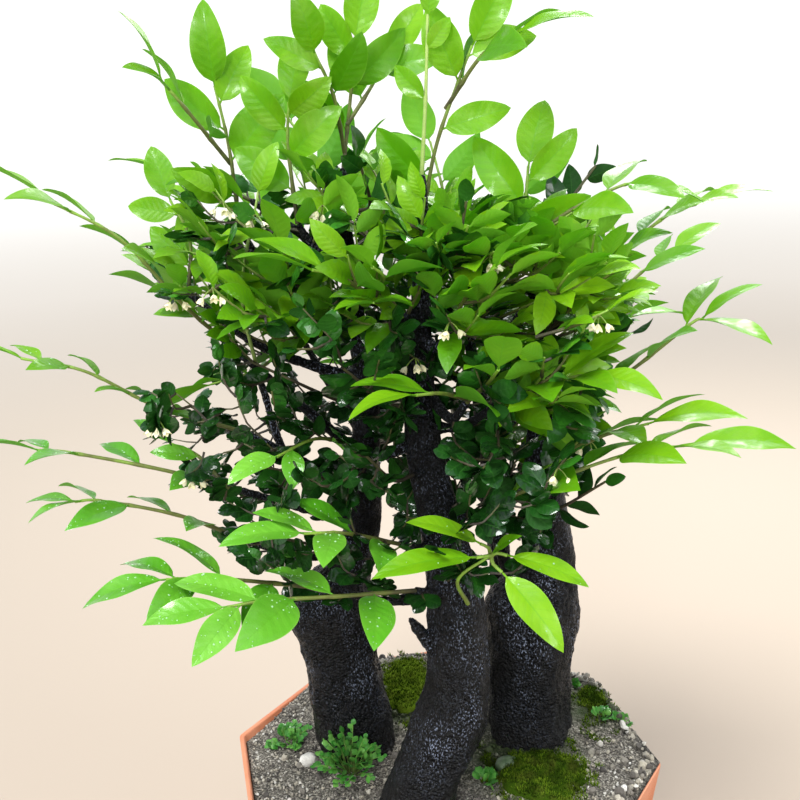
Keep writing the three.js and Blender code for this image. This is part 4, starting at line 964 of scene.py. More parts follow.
for name, flutes, phase, levels, knobs, stubs in TRUNKS:
    heap = Heap()
    heap.add(*lofted(trunk_rings(levels, flutes, phase, knobs)))
    for points, (thick, thin) in stubs + branches_of(name):
        path = Path(points)
        steps = max(8, int(path.length() / 2.5))
        seed = points[0][0] + points[2][2]

        def radius_at(u, thick=thick, thin=thin, path=path, seed=seed):
            knuckle = 1 + 0.16 * noise.noise(Vector((u * path.length() / 7, seed, 0)))
            return (thick + (thin - thick) * u) * knuckle + 0.9 * math.exp(-u * path.length() / 9)

        heap.add(*lofted(tube_rings(path, radius_at, 12, steps)))
    trunk = piece(name + "_bark", heap, [bark], [name])
    skin = trunk.modifiers.new("skin", "REMESH")
    skin.mode = "VOXEL"
    skin.voxel_size = BARK_VOXEL * MM
    apply_modifiers(trunk)
    mesh = trunk.data
    places, normals = np.zeros(3 * len(mesh.vertices)), np.zeros(3 * len(mesh.vertices))
    mesh.vertices.foreach_get("co", places)
    mesh.vertex_normals.foreach_get("vector", normals)
    places, normals = places.reshape(-1, 3) / MM, normals.reshape(-1, 3)
    relief = np.array([bark_relief(p) for p in places])
    places += normals * relief[:, :1]
    mesh.vertices.foreach_set("co", (places * MM).ravel())
    # The tone holds the painted light on the crests and the painted shade in the creases.
    pale = mesh.attributes.get("tone") or mesh.attributes.new("tone", "FLOAT", "POINT")
    pale.data.foreach_set("value", relief[:, 1])
    mesh.materials.clear()
    mesh.materials.append(bark)
    mesh.shade_smooth()


# Young sprays: this year's soft shoots, each on its own branch, with large pointed leaves in two rows.
# A blade is folded along its midrib, arches down and is thin enough to let light through.
ATTEMPT_LIFT = (0, 0.3, -0.3, 0.6, -0.55, 0.15)
ATTEMPT_LENGTH = (1, 0.97, 0.94, 0.9, 0.86, 0.75)
STALK = 0.075  # the share of a leaf's length that is stalk
STALK_HALF = 0.55
BARE_SHARE = 0.12  # the bare foot of a stem
BLADE_TIP = 0.985
BLADE_LAST = 0.97


class Leaf:
    """One leaf's place and bend: along runs from stalk to tip, and normal out of its upper face."""

    def __init__(self, base, along, normal, length, half_width, arch, young, taper=0.68):
        self.base, self.along, self.normal = base, along, normal
        self.side = np.cross(normal, along)
        self.length, self.half_width, self.arch = length, half_width, arch
        self.taper = taper if young else 0.62
        self.fold = 0.2 if young or length > 17 else -0.2
        self.phase = 6.28 * draw(base[0], base[1], base[2])
        self.thick = min(1.0, length / 24)

    def half(self, t):
        """The blade's half width at t from the stalk to the tip."""
        q = np.clip((t - STALK) / (1 - STALK), 0, 1)
        return self.half_width * np.sin(np.pi * q**0.88) ** self.taper * (1 - 0.2 * q**6)

    def surface(self, t, v, out=0.0):
        """Points at t along and v across, from -1 to 1, raised from the blade's middle."""
        t, v = np.broadcast_arrays(np.asarray(t, float), np.asarray(v, float))
        half = np.maximum(self.half(t), STALK_HALF * self.thick * (1 - t))
        rise = self.length * (0.12 * t - self.arch * t * t) - 0.05 * self.length * t**6
        wave = 0.1 * half * np.sin(8 * t + self.phase + 1.5 * v) * np.abs(v) ** 3
        rise = rise + self.fold * half * np.abs(v) ** 1.4 + wave + out
        place = self.base + np.multiply.outer(t * self.length, self.along)
        return place + np.multiply.outer(half * v, self.side) + np.multiply.outer(rise, self.normal)


def blade_pattern(rows, columns):
    """Where a blade's points lie, its faces and their places on the leaf, for given rows and columns."""
    count, wide = len(rows), len(columns)
    upper = 1 + np.arange(count * wide).reshape(count, wide)
    lower = upper.copy()
    lower[:, 1:-1] = 1 + count * wide + np.arange(count * (wide - 2)).reshape(count, wide - 2)
    tip = 1 + count * (2 * wide - 2)
    across = (columns + 1) / 2
    faces, corners = [], []
    for grid, way, shift in ((upper, 1, 0), (lower, -1, 1)):
        for i in range(wide - 1):
            left, right = across[i] + shift, across[i + 1] + shift
            middle = (across[i] + across[i + 1]) / 2 + shift
            strip = [[(0, middle, 0), (grid[0, i], left, rows[0]), (grid[0, i + 1], right, rows[0])]]
            for r in range(count - 1):
                near, far = rows[r], rows[r + 1]
                strip.append([(grid[r, i], left, near), (grid[r + 1, i], left, far),
                              (grid[r + 1, i + 1], right, far), (grid[r, i + 1], right, near)])
            end = rows[-1]
            strip.append([(grid[-1, i], left, end), (tip, middle, 1), (grid[-1, i + 1], right, end)])
            for face in strip:
                faces.append([int(corner[0]) for corner in face[::way]])
                corners += [corner[1:] for corner in face[::way]]
    return *np.meshgrid(rows, columns, indexing="ij"), faces, np.array(corners, float)


FINE_ROWS = np.concatenate([[0.025, STALK], STALK + (1 - STALK) * (np.arange(1, 15) / 15) ** 0.95])
FINE_BLADE = blade_pattern(FINE_ROWS, np.array([-1, -0.72, -0.4, -0.1, 0, 0.1, 0.4, 0.72, 1]))
SMALL_ROWS = np.concatenate([[0.03, STALK], STALK + (1 - STALK) * np.array([0.12, 0.3, 0.5, 0.7, 0.87])])
SMALL_BLADE = blade_pattern(SMALL_ROWS, np.array([-1, -0.5, 0, 0.5, 1]))
TINY_BLADE = blade_pattern(np.array([0.05, 0.2, 0.4, 0.6, 0.78, 0.93]), np.array([-1, 0, 1]))


def blade(heap, leaf, tone, look=0, pattern=FINE_BLADE):
    """A leaf as a closed thin body with a stalk and a grooved midrib, its two faces in one outline."""
    t, v, faces, corners = pattern
    body = leaf.thick * (0.16 + (STALK_HALF * 0.8 - 0.16) * np.exp(-t / 0.05))
    rib = leaf.thick * 0.34 * np.exp(-((v / 0.13) ** 2)) * (1 - t)
    rim = np.abs(v) < 1
    top = leaf.surface(t, v, (body - 0.5 * rib * (t > STALK)) * rim)
    under = leaf.surface(t, v, -(body + rib) * rim)[:, 1:-1]
    ends = leaf.surface(0.0, 0.0)[None], leaf.surface(1.0, 0.0)[None]
    points = np.concatenate([ends[0], top.reshape(-1, 3), under.reshape(-1, 3), ends[1]])
    heap.add(points, faces, look, tone, corners)


def axil_at(index, leaves, bare):
    """Where a stem's leaf grows, from 0 to 1 along the stem."""
    if index == leaves - 1:
        return BLADE_TIP
    return bare + (BLADE_LAST - bare) * ((index + 0.4) / (leaves - 1))


def leaf_on(path, leaves, size, face, bare, young, seed, index, attempt=0, spiral=False):
    """The leaf at one place of a stem, by the rule that also places the solids' leaves."""
    terminal = index == leaves - 1
    u = axil_at(index, leaves, bare)
    way = path.way(u)
    face = unit(face - way * way.dot(face))
    if spiral:
        face = spun(face, way, index * 2.4 + 3 * draw(seed, index, 1))
    rank = 1 if index % 2 else -1
    angle = 0.12 * rank if terminal else 1.02 - 0.38 * u + 0.3 * (draw(seed, index, 2) - 0.5)
    along = way * math.cos(angle) + np.cross(way, face) * rank * math.sin(angle)
    climb = 0.08 + 0.3 * (draw(seed, index, 3) - 0.5) + ATTEMPT_LIFT[attempt]
    along = unit(along + face * climb)
    normal = spun(unit(face - along * along.dot(face)), along, 0.7 * (draw(seed, index, 4) - 0.5))
    grade = 1 if terminal and young else 0.72 + 0.28 * math.sin(math.pi * min(1, 0.25 + 0.75 * u))
    length = size * grade * (0.9 + 0.2 * draw(seed, index, 5)) * ATTEMPT_LENGTH[attempt]
    half_width = length * (0.22 if young else 0.27)
    return Leaf(path.at(u), along, normal, length, half_width, 0.16 + 0.16 * draw(seed, index, 6), young)


def leaves_as_packed(node, path, leaves, size, face, bare, young, seed, spiral=False):
    """The stem's leaves with the turn that the solids have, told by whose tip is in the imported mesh."""
    corners = [np.array(v.co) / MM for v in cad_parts[node].data.vertices]
    near = KDTree(len(corners))
    for i, corner in enumerate(corners):
        near.insert(corner, i)
    near.balance()
    for index in range(leaves):
        best = None
        for attempt in range(len(ATTEMPT_LIFT)):
            leaf = leaf_on(path, leaves, size, face, bare, young, seed, index, attempt, spiral)
            tip = leaf.base + leaf.along * leaf.length + leaf.normal * leaf.length * (0.12 - leaf.arch)
            miss = min(near.find(tip + leaf.normal * side)[2] for side in (0.35, -0.35))
            if miss < 0.2 and (best is None or miss < best[0]):
                best = (miss, leaf)
        if best:
            yield index, best[1]


def stem(heap, path, thick, thin, look, tones, axils=(), sides=8, step=3.0):
    """A tapered stem with a swelling at each axil; its tone runs from one value to another."""
    long = path.length()

    def radius_at(u):
        swelling = sum(math.exp(-(((u - axil) * long / 1.7) ** 2)) for axil in axils)
        return (thick + (thin - thick) * u) * (1 + 0.3 * min(1.0, swelling))

    rings = tube_rings(path, radius_at, sides, max(4, int(long / step)))
    tone = np.repeat(np.linspace(*tones, len(rings)), sides)
    heap.add(*lofted(rings), look, tone)


# Veins: a pale midrib and side veins that curve to the edge, from the leaf's own two coordinates.
# Under is 1 on the lower face, the band along the margin is for a painted highlight, and Height is
# for the bump between the veins.
veins, veins_in, veins_out = named_group(
    "leaf_veins", [("Pairs", 9.0)], ["Midrib", "Side Veins", "Under", "Edge", "Height"]
)
leaf_place = put(veins, "SeparateXYZ", {0: put(veins, "UVMap", uv_map="leaf").outputs["UV"]})
leaf_x, leaf_y = leaf_place.outputs["X"], leaf_place.outputs["Y"]
is_under = reckoned(veins, "GREATER_THAN", leaf_x, 1.0001)
from_rib = reckoned(veins, "SUBTRACT", reckoned(veins, "SUBTRACT", leaf_x, is_under), 0.5)
from_rib = times(veins, reckoned(veins, "ABSOLUTE", from_rib), 2.0)
rib_line = remapped(veins, from_rib, 0.02, 0.065, 1.0, 0.0)
slant = reckoned(veins, "SUBTRACT", leaf_y, times(veins, from_rib, 0.16))
beat = reckoned(veins, "FRACT", times(veins, slant, veins_in.outputs["Pairs"]))
from_vein = reckoned(veins, "ABSOLUTE", reckoned(veins, "SUBTRACT", beat, 0.5))
vein_line = remapped(veins, from_vein, 0.0, 0.13, 1.0, 0.0)
vein_line = times(veins, vein_line, remapped(veins, from_rib, 0.7, 0.95, 1.0, 0.0))
swell = times(veins, from_vein, remapped(veins, from_rib, 0.75, 1.0, 1.0, 0.2))
# a thin band along the margin, where a pale painted highlight goes
rim_highlight_line = remapped(veins, from_rib, 0.93, 1.0)
for name, value in zip(("Midrib", "Side Veins", "Under", "Edge", "Height"),
                       (rib_line, vein_line, is_under, rim_highlight_line, swell)):
    veins.links.new(value, veins_out.inputs[name])


def drifted(tree, patch, share, stops):
    """A colour by the piece's own tone, which drifts a little from patch to patch."""
    drift = times(tree, reckoned(tree, "SUBTRACT", patch, 0.5), share)
    return ramp(tree, reckoned(tree, "ADD", own_tone(tree), drift), stops)


def leaf_look(name, stops, rib, under, edge, glow, light_share, roughness, pairs, wet, gloss=0.3):
    """A leaf's material: tone-driven green, veins, paler underside, a painted rim highlight and light that
    shines through.
    Wet is how far a clear film spreads over its upper face, from 0 to 1."""
    made, tree, shader = shaded(name)
    marks = grouped(tree, mottle, {"Patch Scale": 60.0, "Grain Scale": 1100.0})
    lines = grouped(tree, veins, {"Pairs": pairs})
    colour = drifted(tree, marks["Patch"], 0.3, stops)
    # edge is the colour of the painted highlight along the rim
    layers = (("Midrib", 0.4, rib), ("Side Veins", 0.16, rib), ("Edge", 0.4, edge), ("Under", 0.45, under))
    for mask, share, layer in layers:
        colour = mixed(tree, times(tree, lines[mask], share), colour, (*layer, 1))
    rough = remapped(tree, lines["Under"], 0, 1, roughness, 0.6)
    relief = reckoned(tree, "ADD", lines["Height"], times(tree, marks["Grain"], 0.25))
    finish(tree, shader, colour, rough, relief, 0.0006, 0.4)
    upper = reckoned(tree, "SUBTRACT", 1.0, lines["Under"])
    film = times(tree, remapped(tree, marks["Patch"], 0.6 - 0.5 * wet, 0.9 - 0.4 * wet), upper)
    tree.links.new(film, shader.inputs["Coat Weight"])
    shader.inputs["Coat Roughness"].default_value = 0.2 - 0.11 * wet
    shader.inputs["Specular IOR Level"].default_value = gloss
    through_colour = mixed(tree, 0.5, colour, (*glow, 1))
    thin = put(tree, "BsdfTranslucent", {"Color": through_colour})
    both = put(tree, "MixShader", {0: light_share, 1: shader.outputs[0], 2: thin.outputs[0]})
    tree.links.new(both.outputs[0], tree.nodes["Material Output"].inputs["Surface"])
    return made


young_leaf = leaf_look(
    "young_leaf", [(0.0, (0.026, 0.13, 0.003)), (0.45, (0.1, 0.31, 0.004)), (1.0, (0.26, 0.52, 0.008))],
    (0.12, 0.36, 0.02), (0.11, 0.33, 0.03), (0.32, 0.6, 0.06), (0.35, 0.85, 0.004), 0.38, 0.4, 9.0, 0.3,
)
# The wet leaves' colour holds more blue than the young leaf's: a painted bluish sheen, beside the real clear
# film of their coat.
wet_leaf_painted_sheen = leaf_look(
    "wet_leaf_painted_sheen", [(0.0, (0.024, 0.15, 0.006)), (0.45, (0.08, 0.33, 0.012)), (1.0, (0.21, 0.54, 0.05))],
    (0.12, 0.36, 0.02), (0.11, 0.33, 0.03), (0.34, 0.62, 0.1), (0.3, 0.8, 0.01), 0.3, 0.3, 9.0, 0.6,
)


def stem_look(name, stops):
    """A stem's material: coloured by its tone, from brown wood to green, with fine brown spots."""
    made, tree, shader = shaded(name, roughness=0.55)
    marks = grouped(tree, mottle, {"Patch Scale": 120.0, "Grain Scale": 1400.0})
    body = drifted(tree, marks["Patch"], 0.35, stops)
    spotted = mixed(tree, remapped(tree, marks["Grain"], 0.7, 1.0, 0.0, 0.3), body, (0.2, 0.16, 0.09, 1))
    finish(tree, shader, spotted, None, marks["Grain"], 0.0003, 0.5)
    return made


young_stem = stem_look("young_stem", [
    (0.0, (0.014, 0.011, 0.006)), (0.3, (0.05, 0.045, 0.014)), (0.6, (0.11, 0.14, 0.02)),
    (1.0, (0.19, 0.36, 0.03)),
])
pale_stem = stem_look("pale_stem", [(0.0, (0.13, 0.2, 0.03)), (1.0, (0.34, 0.48, 0.12))])

LEAF_SHY = 0.98  # keeps the leaf tips inside the solids' outline
BROADER = {UP: 0.92, OUT: 1.05, LEVEL: 0.92}  # by the way that a stem's leaves face
TAPER = {UP: 0.72, OUT: 0.62, LEVEL: 0.85}
LEAF_CREASE = 60  # a leaf's and a stem's faces are smooth up to this angle
WET_SPRAYS = {  # the sprays that a mister has wetted, and how many drops lie on each of their leaves
    "spray_front_left": 16, "spray_front_left_low": 16, "spray_front_left_high": 12, "spray_left_foot": 9,
    "spray_left_low": 9, "spray_left_middle": 5, "spray_front_middle": 9, "sprouts_front": 3,
}
leaves_of = {}
for s, (name, _, _, stems) in enumerate(SPRAYS):
    heap = Heap()
    pale = name.startswith("stem_pale")
    leaves_of[name] = []
    for k, (points, leaves, size, face, *bare) in enumerate(stems):
        path = Path(points)
        bare = bare[0] if bare else BARE_SHARE
        axils = []
        for index, leaf in leaves_as_packed(name, path, leaves, size, face, bare, True, 10 * s + k):
            u = axil_at(index, leaves, bare)
            axils.append(u)
            leaf.length *= LEAF_SHY
            leaf.half_width *= 0.75 if name == "sprouts_front" else BROADER.get(face, 1.1)
            leaf.half_width *= 0.9 + 0.2 * draw(s, index, k + 60)
            leaf.taper = TAPER.get(face, 0.7)
            leaves_of[name].append(leaf)
            blade(heap, leaf, 0.25 + 0.35 * u + 0.35 * draw(s, index, k + 40))
        foot_tone = 0.7 if name == "sprouts_front" else 0.3 + 0.2 * pale
        stem(heap, path, 1.2, 0.65, 1, (foot_tone, 1.0), axils)
    blades = wet_leaf_painted_sheen if WET_SPRAYS.get(name, 0) > 5 else young_leaf
    looks = [blades, pale_stem if pale else young_stem]
    piece(name + "_leaves", heap, looks, [name], LEAF_CREASE)


# Dark twigs: older inner twigs with small leathery leaves, dark green and glossy, that spiral round
# thin brown stems in the middle of the crown.
old_leaf_stops = [
    (0.0, (0.003, 0.018, 0.003)), (0.4, (0.009, 0.062, 0.006)), (0.7, (0.034, 0.178, 0.012)),
    (1.0, (0.11, 0.36, 0.014)),
]
old_leaf = leaf_look(
    "old_leaf", old_leaf_stops, (0.04, 0.16, 0.02), (0.015, 0.07, 0.008), (0.03, 0.13, 0.012),
    (0.08, 0.35, 0.004), 0.13, 0.35, 6.0, 1.0, 0.12,
)
old_stem_stops = [(0.0, (0.012, 0.01, 0.007)), (0.6, (0.045, 0.035, 0.018)), (1.0, (0.09, 0.1, 0.025))]
old_stem = stem_look("old_stem", old_stem_stops)

TWIG_LEAVES = 6
TWIG_FACE = (0.3, -0.6, 0.7)
twig_paths = []
for i, (name, holder, start, middle, end, size) in enumerate(TWIGS):
    heap = Heap()
    path = Path([twig_seat(start, middle), middle, end])
    twig_paths.append((path, holder))
    seed = 10 * (len(SPRAYS) + i)
    twig = (TWIG_LEAVES, size, TWIG_FACE, BARE_SHARE, False, seed, True)
    for index, leaf in leaves_as_packed(name, path, *twig):
        blade(heap, leaf, 0.15 + 0.5 * draw(seed, index, 50), 0)
        leaves_of.setdefault(name, []).append(leaf)
    stem(heap, path, 1.25, 0.7, 1, (0.2, 0.8), sides=7)
    piece(name + "_leaves", heap, [old_leaf, old_stem], [name], LEAF_CREASE)


# Inner crown: the rest of the small foliage. Hundreds of fine twigs fork from the branches and fill
# the crown: low down and inside with small round dark leaves on upright twigs, high up and on the
# right with longer and fresher ones that reach outward.
CROWN_FRONT = [  # the crown's outline from the front, as (x, z) on the middle plane
    (-133, 485), (-155, 459), (-155, 421), (-126, 401), (-130, 376), (-167, 370), (-161, 342),
    (-155, 318), (-121, 277), (-99, 248), (-52, 237), (-23, 228), (1, 240), (45, 250), (64, 276),
    (77, 306), (91, 335), (92, 370), (97, 397), (115, 419), (112, 446), (90, 465), (48, 468),
    (1, 492), (-51, 500), (-93, 499),
]
CROWN_SIDE = [  # and from the side, as (y, z)
    (-76, 262), (-96, 300), (-104, 350), (-98, 410), (-76, 462), (-30, 505), (20, 520), (70, 500),
    (112, 440), (124, 380), (108, 318), (70, 276), (0, 258),
]
TWIG_REACH = 80
CELL = 5.0  # the size of the cells in which the leaves' marks are kept
FRESH_FROM = 398  # the height from which fresh growth shows, seen from the front
CROWN_TWIGS = [  # kind, number of twigs, least gap between their ends, their shortest reach
    ("fresh", 270, 17, 34),
    ("dark", 520, 15, 0),
]
GAP_SIZE = 15
TRIES = 60000


def inside(outline, a, b):
    """Whether a place is inside a closed outline."""
    odd = False
    for (a1, b1), (a2, b2) in zip(outline, outline[1:] + outline[:1]):
        if (b1 > b) != (b2 > b) and a < a1 + (a2 - a1) * (b - b1) / (b2 - b1):
            odd = not odd
    return odd


def seen_at(p):
    """Where a point shows on the middle plane, from the camera."""
    eye = np.array(CAMERA_PLACE) / MM
    spot = eye + (p - eye) * (-eye[1] / (p[1] - eye[1]))
    return spot[0], spot[2]


def in_crown(p):
    return inside(CROWN_FRONT, *seen_at(p)) and inside(CROWN_SIDE, p[1], p[2])


def in_gap(p):
    """Whether the crown is open at a point, seen from the front: mostly at its left and its top."""
    x, z = seen_at(p)
    left = min(1.0, max(0.0, (-35 - x) / 50))
    high = min(1.0, max(0.0, (z - 430) / 50))
    low = math.exp(-(((z - 375) / 22) ** 2))
    right = min(1.0, max(0.0, (x - 70) / 30))
    open_share = left * (0.19 + 0.14 * low) + 0.14 * high + 0.13 * right - 0.26
    return noise.noise(Vector((x / GAP_SIZE, z / GAP_SIZE, 3.0))) < open_share


def freshness(p):
    """How far a point shows above the height where fresh growth starts, which falls to the right."""
    x, z = seen_at(p)
    return z + 0.85 * max(0.0, x) - FRESH_FROM


dice = np.random.default_rng(7)
wood_places, wood_holders = [], []
for name, _, _, levels, _, _ in TRUNKS:
    for z, x, y, _ in levels:
        if z > 285:
            wood_places.append((x, y, z))
            wood_holders.append(name)
    for points, _ in branches_of(name):
        path = Path(points)
        for u in np.linspace(0.35, 1, 6):
            wood_places.append(path.at(u))
            wood_holders.append(name)
for path, holder in twig_paths:
    for u in (0.3, 0.55, 0.8, 1):
        wood_places.append(path.at(u))
        wood_holders.append(holder)
for name, holder, _, stems in SPRAYS:
    for points, *_ in stems:
        for u in (0.15, 0.35):
            wood_places.append(Path(points).at(u))
            wood_holders.append(holder)
wood_places = [np.array(p, float) for p in wood_places]

taken = {}


def cell(p):
    return tuple(int(c // CELL) for c in p)


def crowded(p, gap):
    """Whether another leaf's marks are nearer to a point than a gap of up to one cell."""
    home = cell(p)
    around = ((home[0] + i, home[1] + j, home[2] + k) for i, j, k in product((-1, 0, 1), repeat=3))
    return any(np.sum((p - q) ** 2) < gap**2 for spot in around for q in taken.get(spot, ()))


def mark(leaf, spots, sides=(0.0,)):
    for t in spots:
        for v in sides:
            p = leaf.surface(t, v)
            taken.setdefault(cell(p), []).append(p)


for leaves in leaves_of.values():
    for leaf in leaves:
        mark(leaf, (0.2, 0.4, 0.6, 0.8), (-0.6, 0.0, 0.6))


def twig_ends(kind, number, gap):
    """Places in the crown for twig ends: the fresh ones high and near its outside, with gaps low down."""
    found = []
    for _ in range(TRIES):
        p = np.array([dice.uniform(-175, 125), dice.uniform(-105, 125), dice.uniform(235, 520)])
        if not in_crown(p) or any(np.sum((p - q) ** 2) < gap**2 for q in found):
            continue
        rim = np.linalg.norm([(p[0] + 10) / 140, p[1] / 110, (p[2] - 380) / 140])
        share = freshness(p) / 50
        fits = share > dice.random() and rim > 0.55 if kind == "fresh" else share < dice.uniform(0.4, 2.5)
        if fits:
            found.append(p)
            if len(found) == number:
                break
    return found


def crown_leaf(path, leaves, size, face, seed, index, fresh, spiral):
    """One leaf of a crown twig: long and arched on a fresh twig, small, round and domed on a dark one."""
    leaf = leaf_on(path, leaves, size, face, 0.15, fresh, seed, index, spiral=spiral)
    leaf.arch += (0.02 if fresh else 0.16) * dice.random()
    leaf.half_width *= (1.0 if fresh else 1.7 - 0.025 * size) * dice.uniform(0.9, 1.1)
    leaf.taper = 0.72 if fresh else 0.58
    return leaf


foliage = {trunk[0]: Heap() for trunk in TRUNKS}
axils = []
for kind, number, gap, shortest in CROWN_TWIGS:
    fresh = kind == "fresh"
    waiting = twig_ends(kind, number, gap)
    while waiting:
        places = np.array(wood_places)
        gaps = [np.min(np.sum((places - p) ** 2, axis=1)) for p in waiting]
        p = waiting.pop(int(np.argmin(gaps)))
        ways = p - places
        reaches = np.linalg.norm(ways, axis=1)
        outward = unit(np.array([p[0] + 10, p[1], 0.3 * (p[2] - 380)]))
        match = ways @ unit(outward + [0, 0, 0.55]) / np.maximum(reaches, 1e-6)
        nearest = int(np.argmin(np.where(reaches < shortest, 999, reaches * (1.7 - match))))
        start, holder, reach = wood_places[nearest], wood_holders[nearest], reaches[nearest]
        if reach > TWIG_REACH:
            continue
        bow = dice.normal(scale=0.07 * reach, size=3) - [0, 0, 0.12 * reach]
        path = Path([start, (start + p) / 2 + bow, p])
        if not in_crown(path.at(0.5)):
            continue
        seed = len(axils)
        # Leaves that show higher up get a paler tone: partly fresher growth, partly painted light from above,
        # with painted shade low in the crown.
        rise = freshness(p) / 90
        face = unit(outward * dice.uniform(-0.1, 0.5) + [0, 0, 1.1] + dice.normal(scale=0.25, size=3))
        if fresh:
            leaves, size = int(4 + reach / 9), dice.uniform(23, 31)
            tone, rough_tone = np.clip(0.42 + 0.35 * rise, 0.2, 0.8), 0.35
        else:
            large = float(np.clip(0.5 * rise + 0.35 + 0.004 * p[0] + dice.normal(scale=0.2), 0, 1))
            leaves, size = int(6 + reach / (3.4 + 2 * large)), 10.5 + 9 * large + 2 * dice.random()
            tone, rough_tone = np.clip(0.3 + 0.4 * rise, 0.1, 0.75), 0.4
        spiral = not fresh and dice.random() < 0.35
        kept = []
        for index in range(leaves):
            leaf = crown_leaf(path, leaves, size, face, seed, index, fresh, spiral)
            apart = 4.9 if fresh else 3.2 + 0.06 * size
            spot = leaf.surface(0.6, 0.0)
            if in_crown(spot) and not in_gap(spot) and not crowded(leaf.surface(0.5, 0.0), apart):
                kept.append((leaf, index))
        if len(kept) < 3:
            continue
        for leaf, index in kept:
            mark(leaf, (0.3, 0.6))
            shade = tone + 0.16 * index / leaves + rough_tone * (dice.random() - 0.45)
            pattern = SMALL_BLADE if fresh else TINY_BLADE
            blade(foliage[holder], leaf, shade, 2 if fresh else 0, pattern)
        reached = 0.15 + 0.83 * min(1.0, (kept[-1][1] + 0.6) / (leaves - 1))
        shown = Path([start, path.at(0.5 * reached), path.at(reached)])
        thick = (1.05, 0.5) if fresh else (0.85, 0.42)
        stem(foliage[holder], shown, *thick, 3 if fresh else 1, (0.2, 0.9), sides=4, step=7.0)
        for u in (0.55, 1.0):
            wood_places.append(path.at(u))
            wood_holders.append(holder)
        axils.append(path.at(0.8))
crown_looks = [old_leaf, old_stem, young_leaf, young_stem]
for holder, heap in foliage.items():
    if heap.count:
        name = holder.replace("trunk", "foliage").replace("stem", "foliage")
        piece(name, heap, crown_looks, crease=LEAF_CREASE)


# Weeds: soft seedlings that came up by themselves, two clumps with many small round leaves and a few
# single sprigs between the grains.
seedling = leaf_look(
    "seedling", [(0.0, (0.02, 0.12, 0.012)), (0.5, (0.05, 0.26, 0.03)), (1.0, (0.2, 0.45, 0.08))],
    (0.2, 0.5, 0.12), (0.12, 0.3, 0.08), (0.15, 0.4, 0.08), (0.2, 0.6, 0.05), 0.3, 0.42, 4.0, 0.2,
)
seedling_stem = stem_look("seedling_stem", [(0.0, (0.08, 0.11, 0.02)), (1.0, (0.13, 0.3, 0.04))])
WEEDS = [  # name, place, stalks, reach, height, leaf size, the node it stands for
    ("weed_front_clump", (-55, -19), 34, 22, 34, 5.0, "weed_front"),
    ("weed_left_clump", (-97, 14), 14, 14, 11, 4.8, "weed_left"),
    ("sprig_front", (24, -34), 4, 7, 7, 6.2, None),
    ("sprig_front_small", (12, -62), 3, 5, 5, 5.0, None),
    ("sprig_right_near", (101, 24), 3, 6, 9, 5.0, None),
    ("sprig_right_far", (112, 21), 3, 6, 7, 4.6, None),
    ("sprig_right_back", (88, 62), 3, 5, 6, 4.2, None),
]
for w, (name, (x, y), stalks, reach, tall, size, stands_for) in enumerate(WEEDS):
    heap = Heap()
    ground = float(grit_height(x, y))
    for i in range(stalks):
        a = 2.4 * i + draw(w, i, 1)
        far = reach * math.sqrt((i + 0.5) / stalks)
        foot = np.array([x + 0.12 * far * math.cos(a), y + 0.12 * far * math.sin(a), ground - 2])
        top = np.array([x + far * math.cos(a), y + far * math.sin(a), 0.0])
        rise = tall * (1 - 0.7 * far / reach) * (0.5 + 0.6 * draw(w, i, 2))
        top[2] = float(grit_height(top[0], top[1])) + rise
        path = Path([foot, (foot + top) / 2 + [0, 0, 0.1 * tall], top])
        stem(heap, path, 0.4, 0.25, 1, (0, 1), sides=5, step=4.0)
        leaves = 6 + int(4 * draw(w, i, 3))
        seed = 300 + 20 * w + i
        for index in range(leaves):
            one = (size, (0.1, -0.25, 1), 0.4, False, seed, index)
            leaf = leaf_on(path, leaves, *one, spiral=index % 3 == 0)
            leaf.half_width = leaf.length * 0.42
            blade(heap, leaf, 0.25 + 0.65 * draw(w, i, index + 9), 0, TINY_BLADE)
    nodes = [stands_for] if stands_for else ()
    piece(name, heap, [seedling, seedling_stem], nodes, LEAF_CREASE)


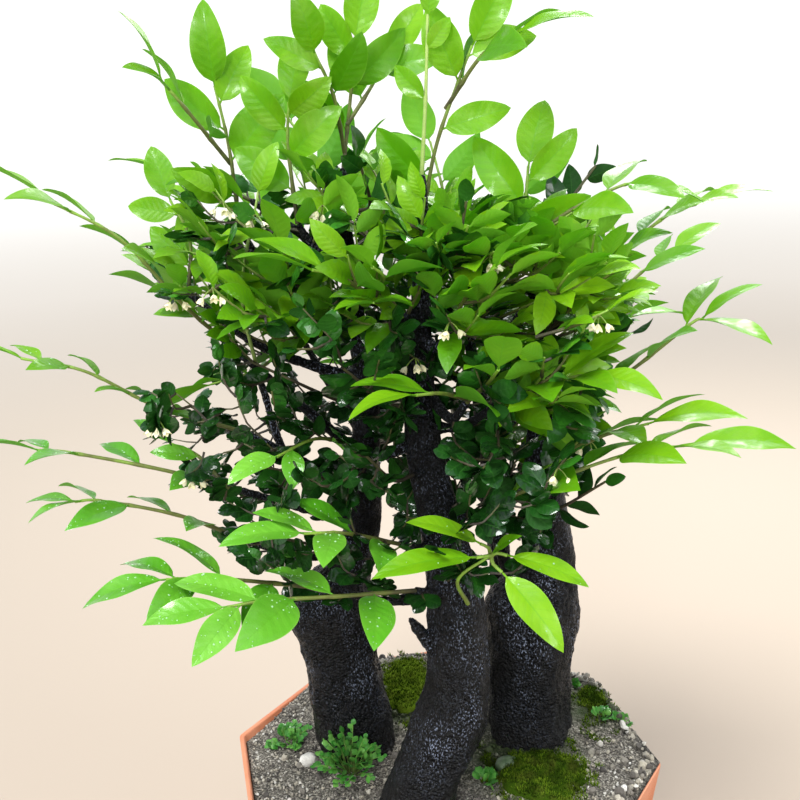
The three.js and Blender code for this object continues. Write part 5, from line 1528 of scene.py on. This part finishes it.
# Flowers: tiny cream flowers that hang in twos and threes from the leaf axils, each with five narrow
# petals round a short tube.
petal_look, tree, shader = shaded("cream_petal")
marks = grouped(tree, mottle, {"Patch Scale": 300.0, "Grain Scale": 2500.0})
petal_colour = ramp(tree, marks["Patch"], [(0.0, (0.78, 0.72, 0.4)), (1.0, (0.9, 0.88, 0.66))])
petal_rough = remapped(tree, marks["Grain"], 0, 1, 0.4, 0.6)
finish(tree, shader, petal_colour, petal_rough, marks["Grain"], 0.0002, 0.4)
PETALS = 5
FLOWER_SPOTS = [  # where clusters show from the front, as (x, z) on the middle plane
    (13, 394), (-102, 485), (-84, 481), (-123, 418), (-147, 429), (-4, 392), (-160, 366), (-150, 322),
    (79, 315), (87, 335), (-60, 470), (40, 450), (98, 400),
]
heap = Heap()
for f, wanted in enumerate(FLOWER_SPOTS):
    misses = [math.dist(seen_at(p), wanted) + 0.25 * p[1] for p in axils]
    place = axils[misses.index(min(misses))]
    for k in range(3 + f % 3):
        a = 2.1 * k + f
        hang = np.array([math.cos(a), math.sin(a) - 0.6, -0.9])
        end = place + unit(hang) * (4.5 + 2 * draw(f, k, 1))
        stalk = Path([place, (place + end) / 2 + [0, 0, 0.6], end])
        stem(heap, stalk, 0.3, 0.3, 1, (0.5, 1), sides=5, step=1.5)
        axis = unit(unit(hang) + [0, 0, -0.5])
        aside = unit(np.cross(axis, (0.3, 0.2, 1)))
        for j in range(PETALS):
            out = spun(aside, axis, 2 * math.pi * j / PETALS)
            along = unit(axis * 0.75 + out * 0.65)
            normal = unit(axis * 0.65 - out * 0.75)
            petal = Leaf(end, along, normal, 4.6, 1.25, -0.1, True)
            blade(heap, petal, 0.5, 0, TINY_BLADE)
piece("flowers", heap, [petal_look, young_stem], crease=LEAF_CREASE)


# Drops: beads of water on the upper faces of the low leaves at the left, which a mister has left
# there. Each is a small flattened dome that lets the leaf's colour through, and its pale colour is
# painted light that stands in for the light a clear bead gathers.
drop_look, _, _ = shaded("water_drop", base_color=(0.6, 0.9, 0.55, 1), roughness=0.05, alpha=0.4)
heap = Heap()
for name, most in WET_SPRAYS.items():
    for leaf in leaves_of[name]:
        for _ in range(most):
            t, v, size = dice.uniform(0.15, 0.93), dice.uniform(-0.85, 0.85), 0.26 + 0.42 * dice.random() ** 2
            if float(leaf.half(t)) < 2:
                continue
            local = STONE_POINTS * [size, size, 0.55 * size]
            spot = leaf.surface(t, v, 0.16 + 0.3 * size)
            bead = local[:, :1] * leaf.along + local[:, 1:2] * leaf.side + local[:, 2:] * leaf.normal
            heap.add(spot + bead, STONE_FACES)
piece("water_drops", heap, [drop_look], crease=180)
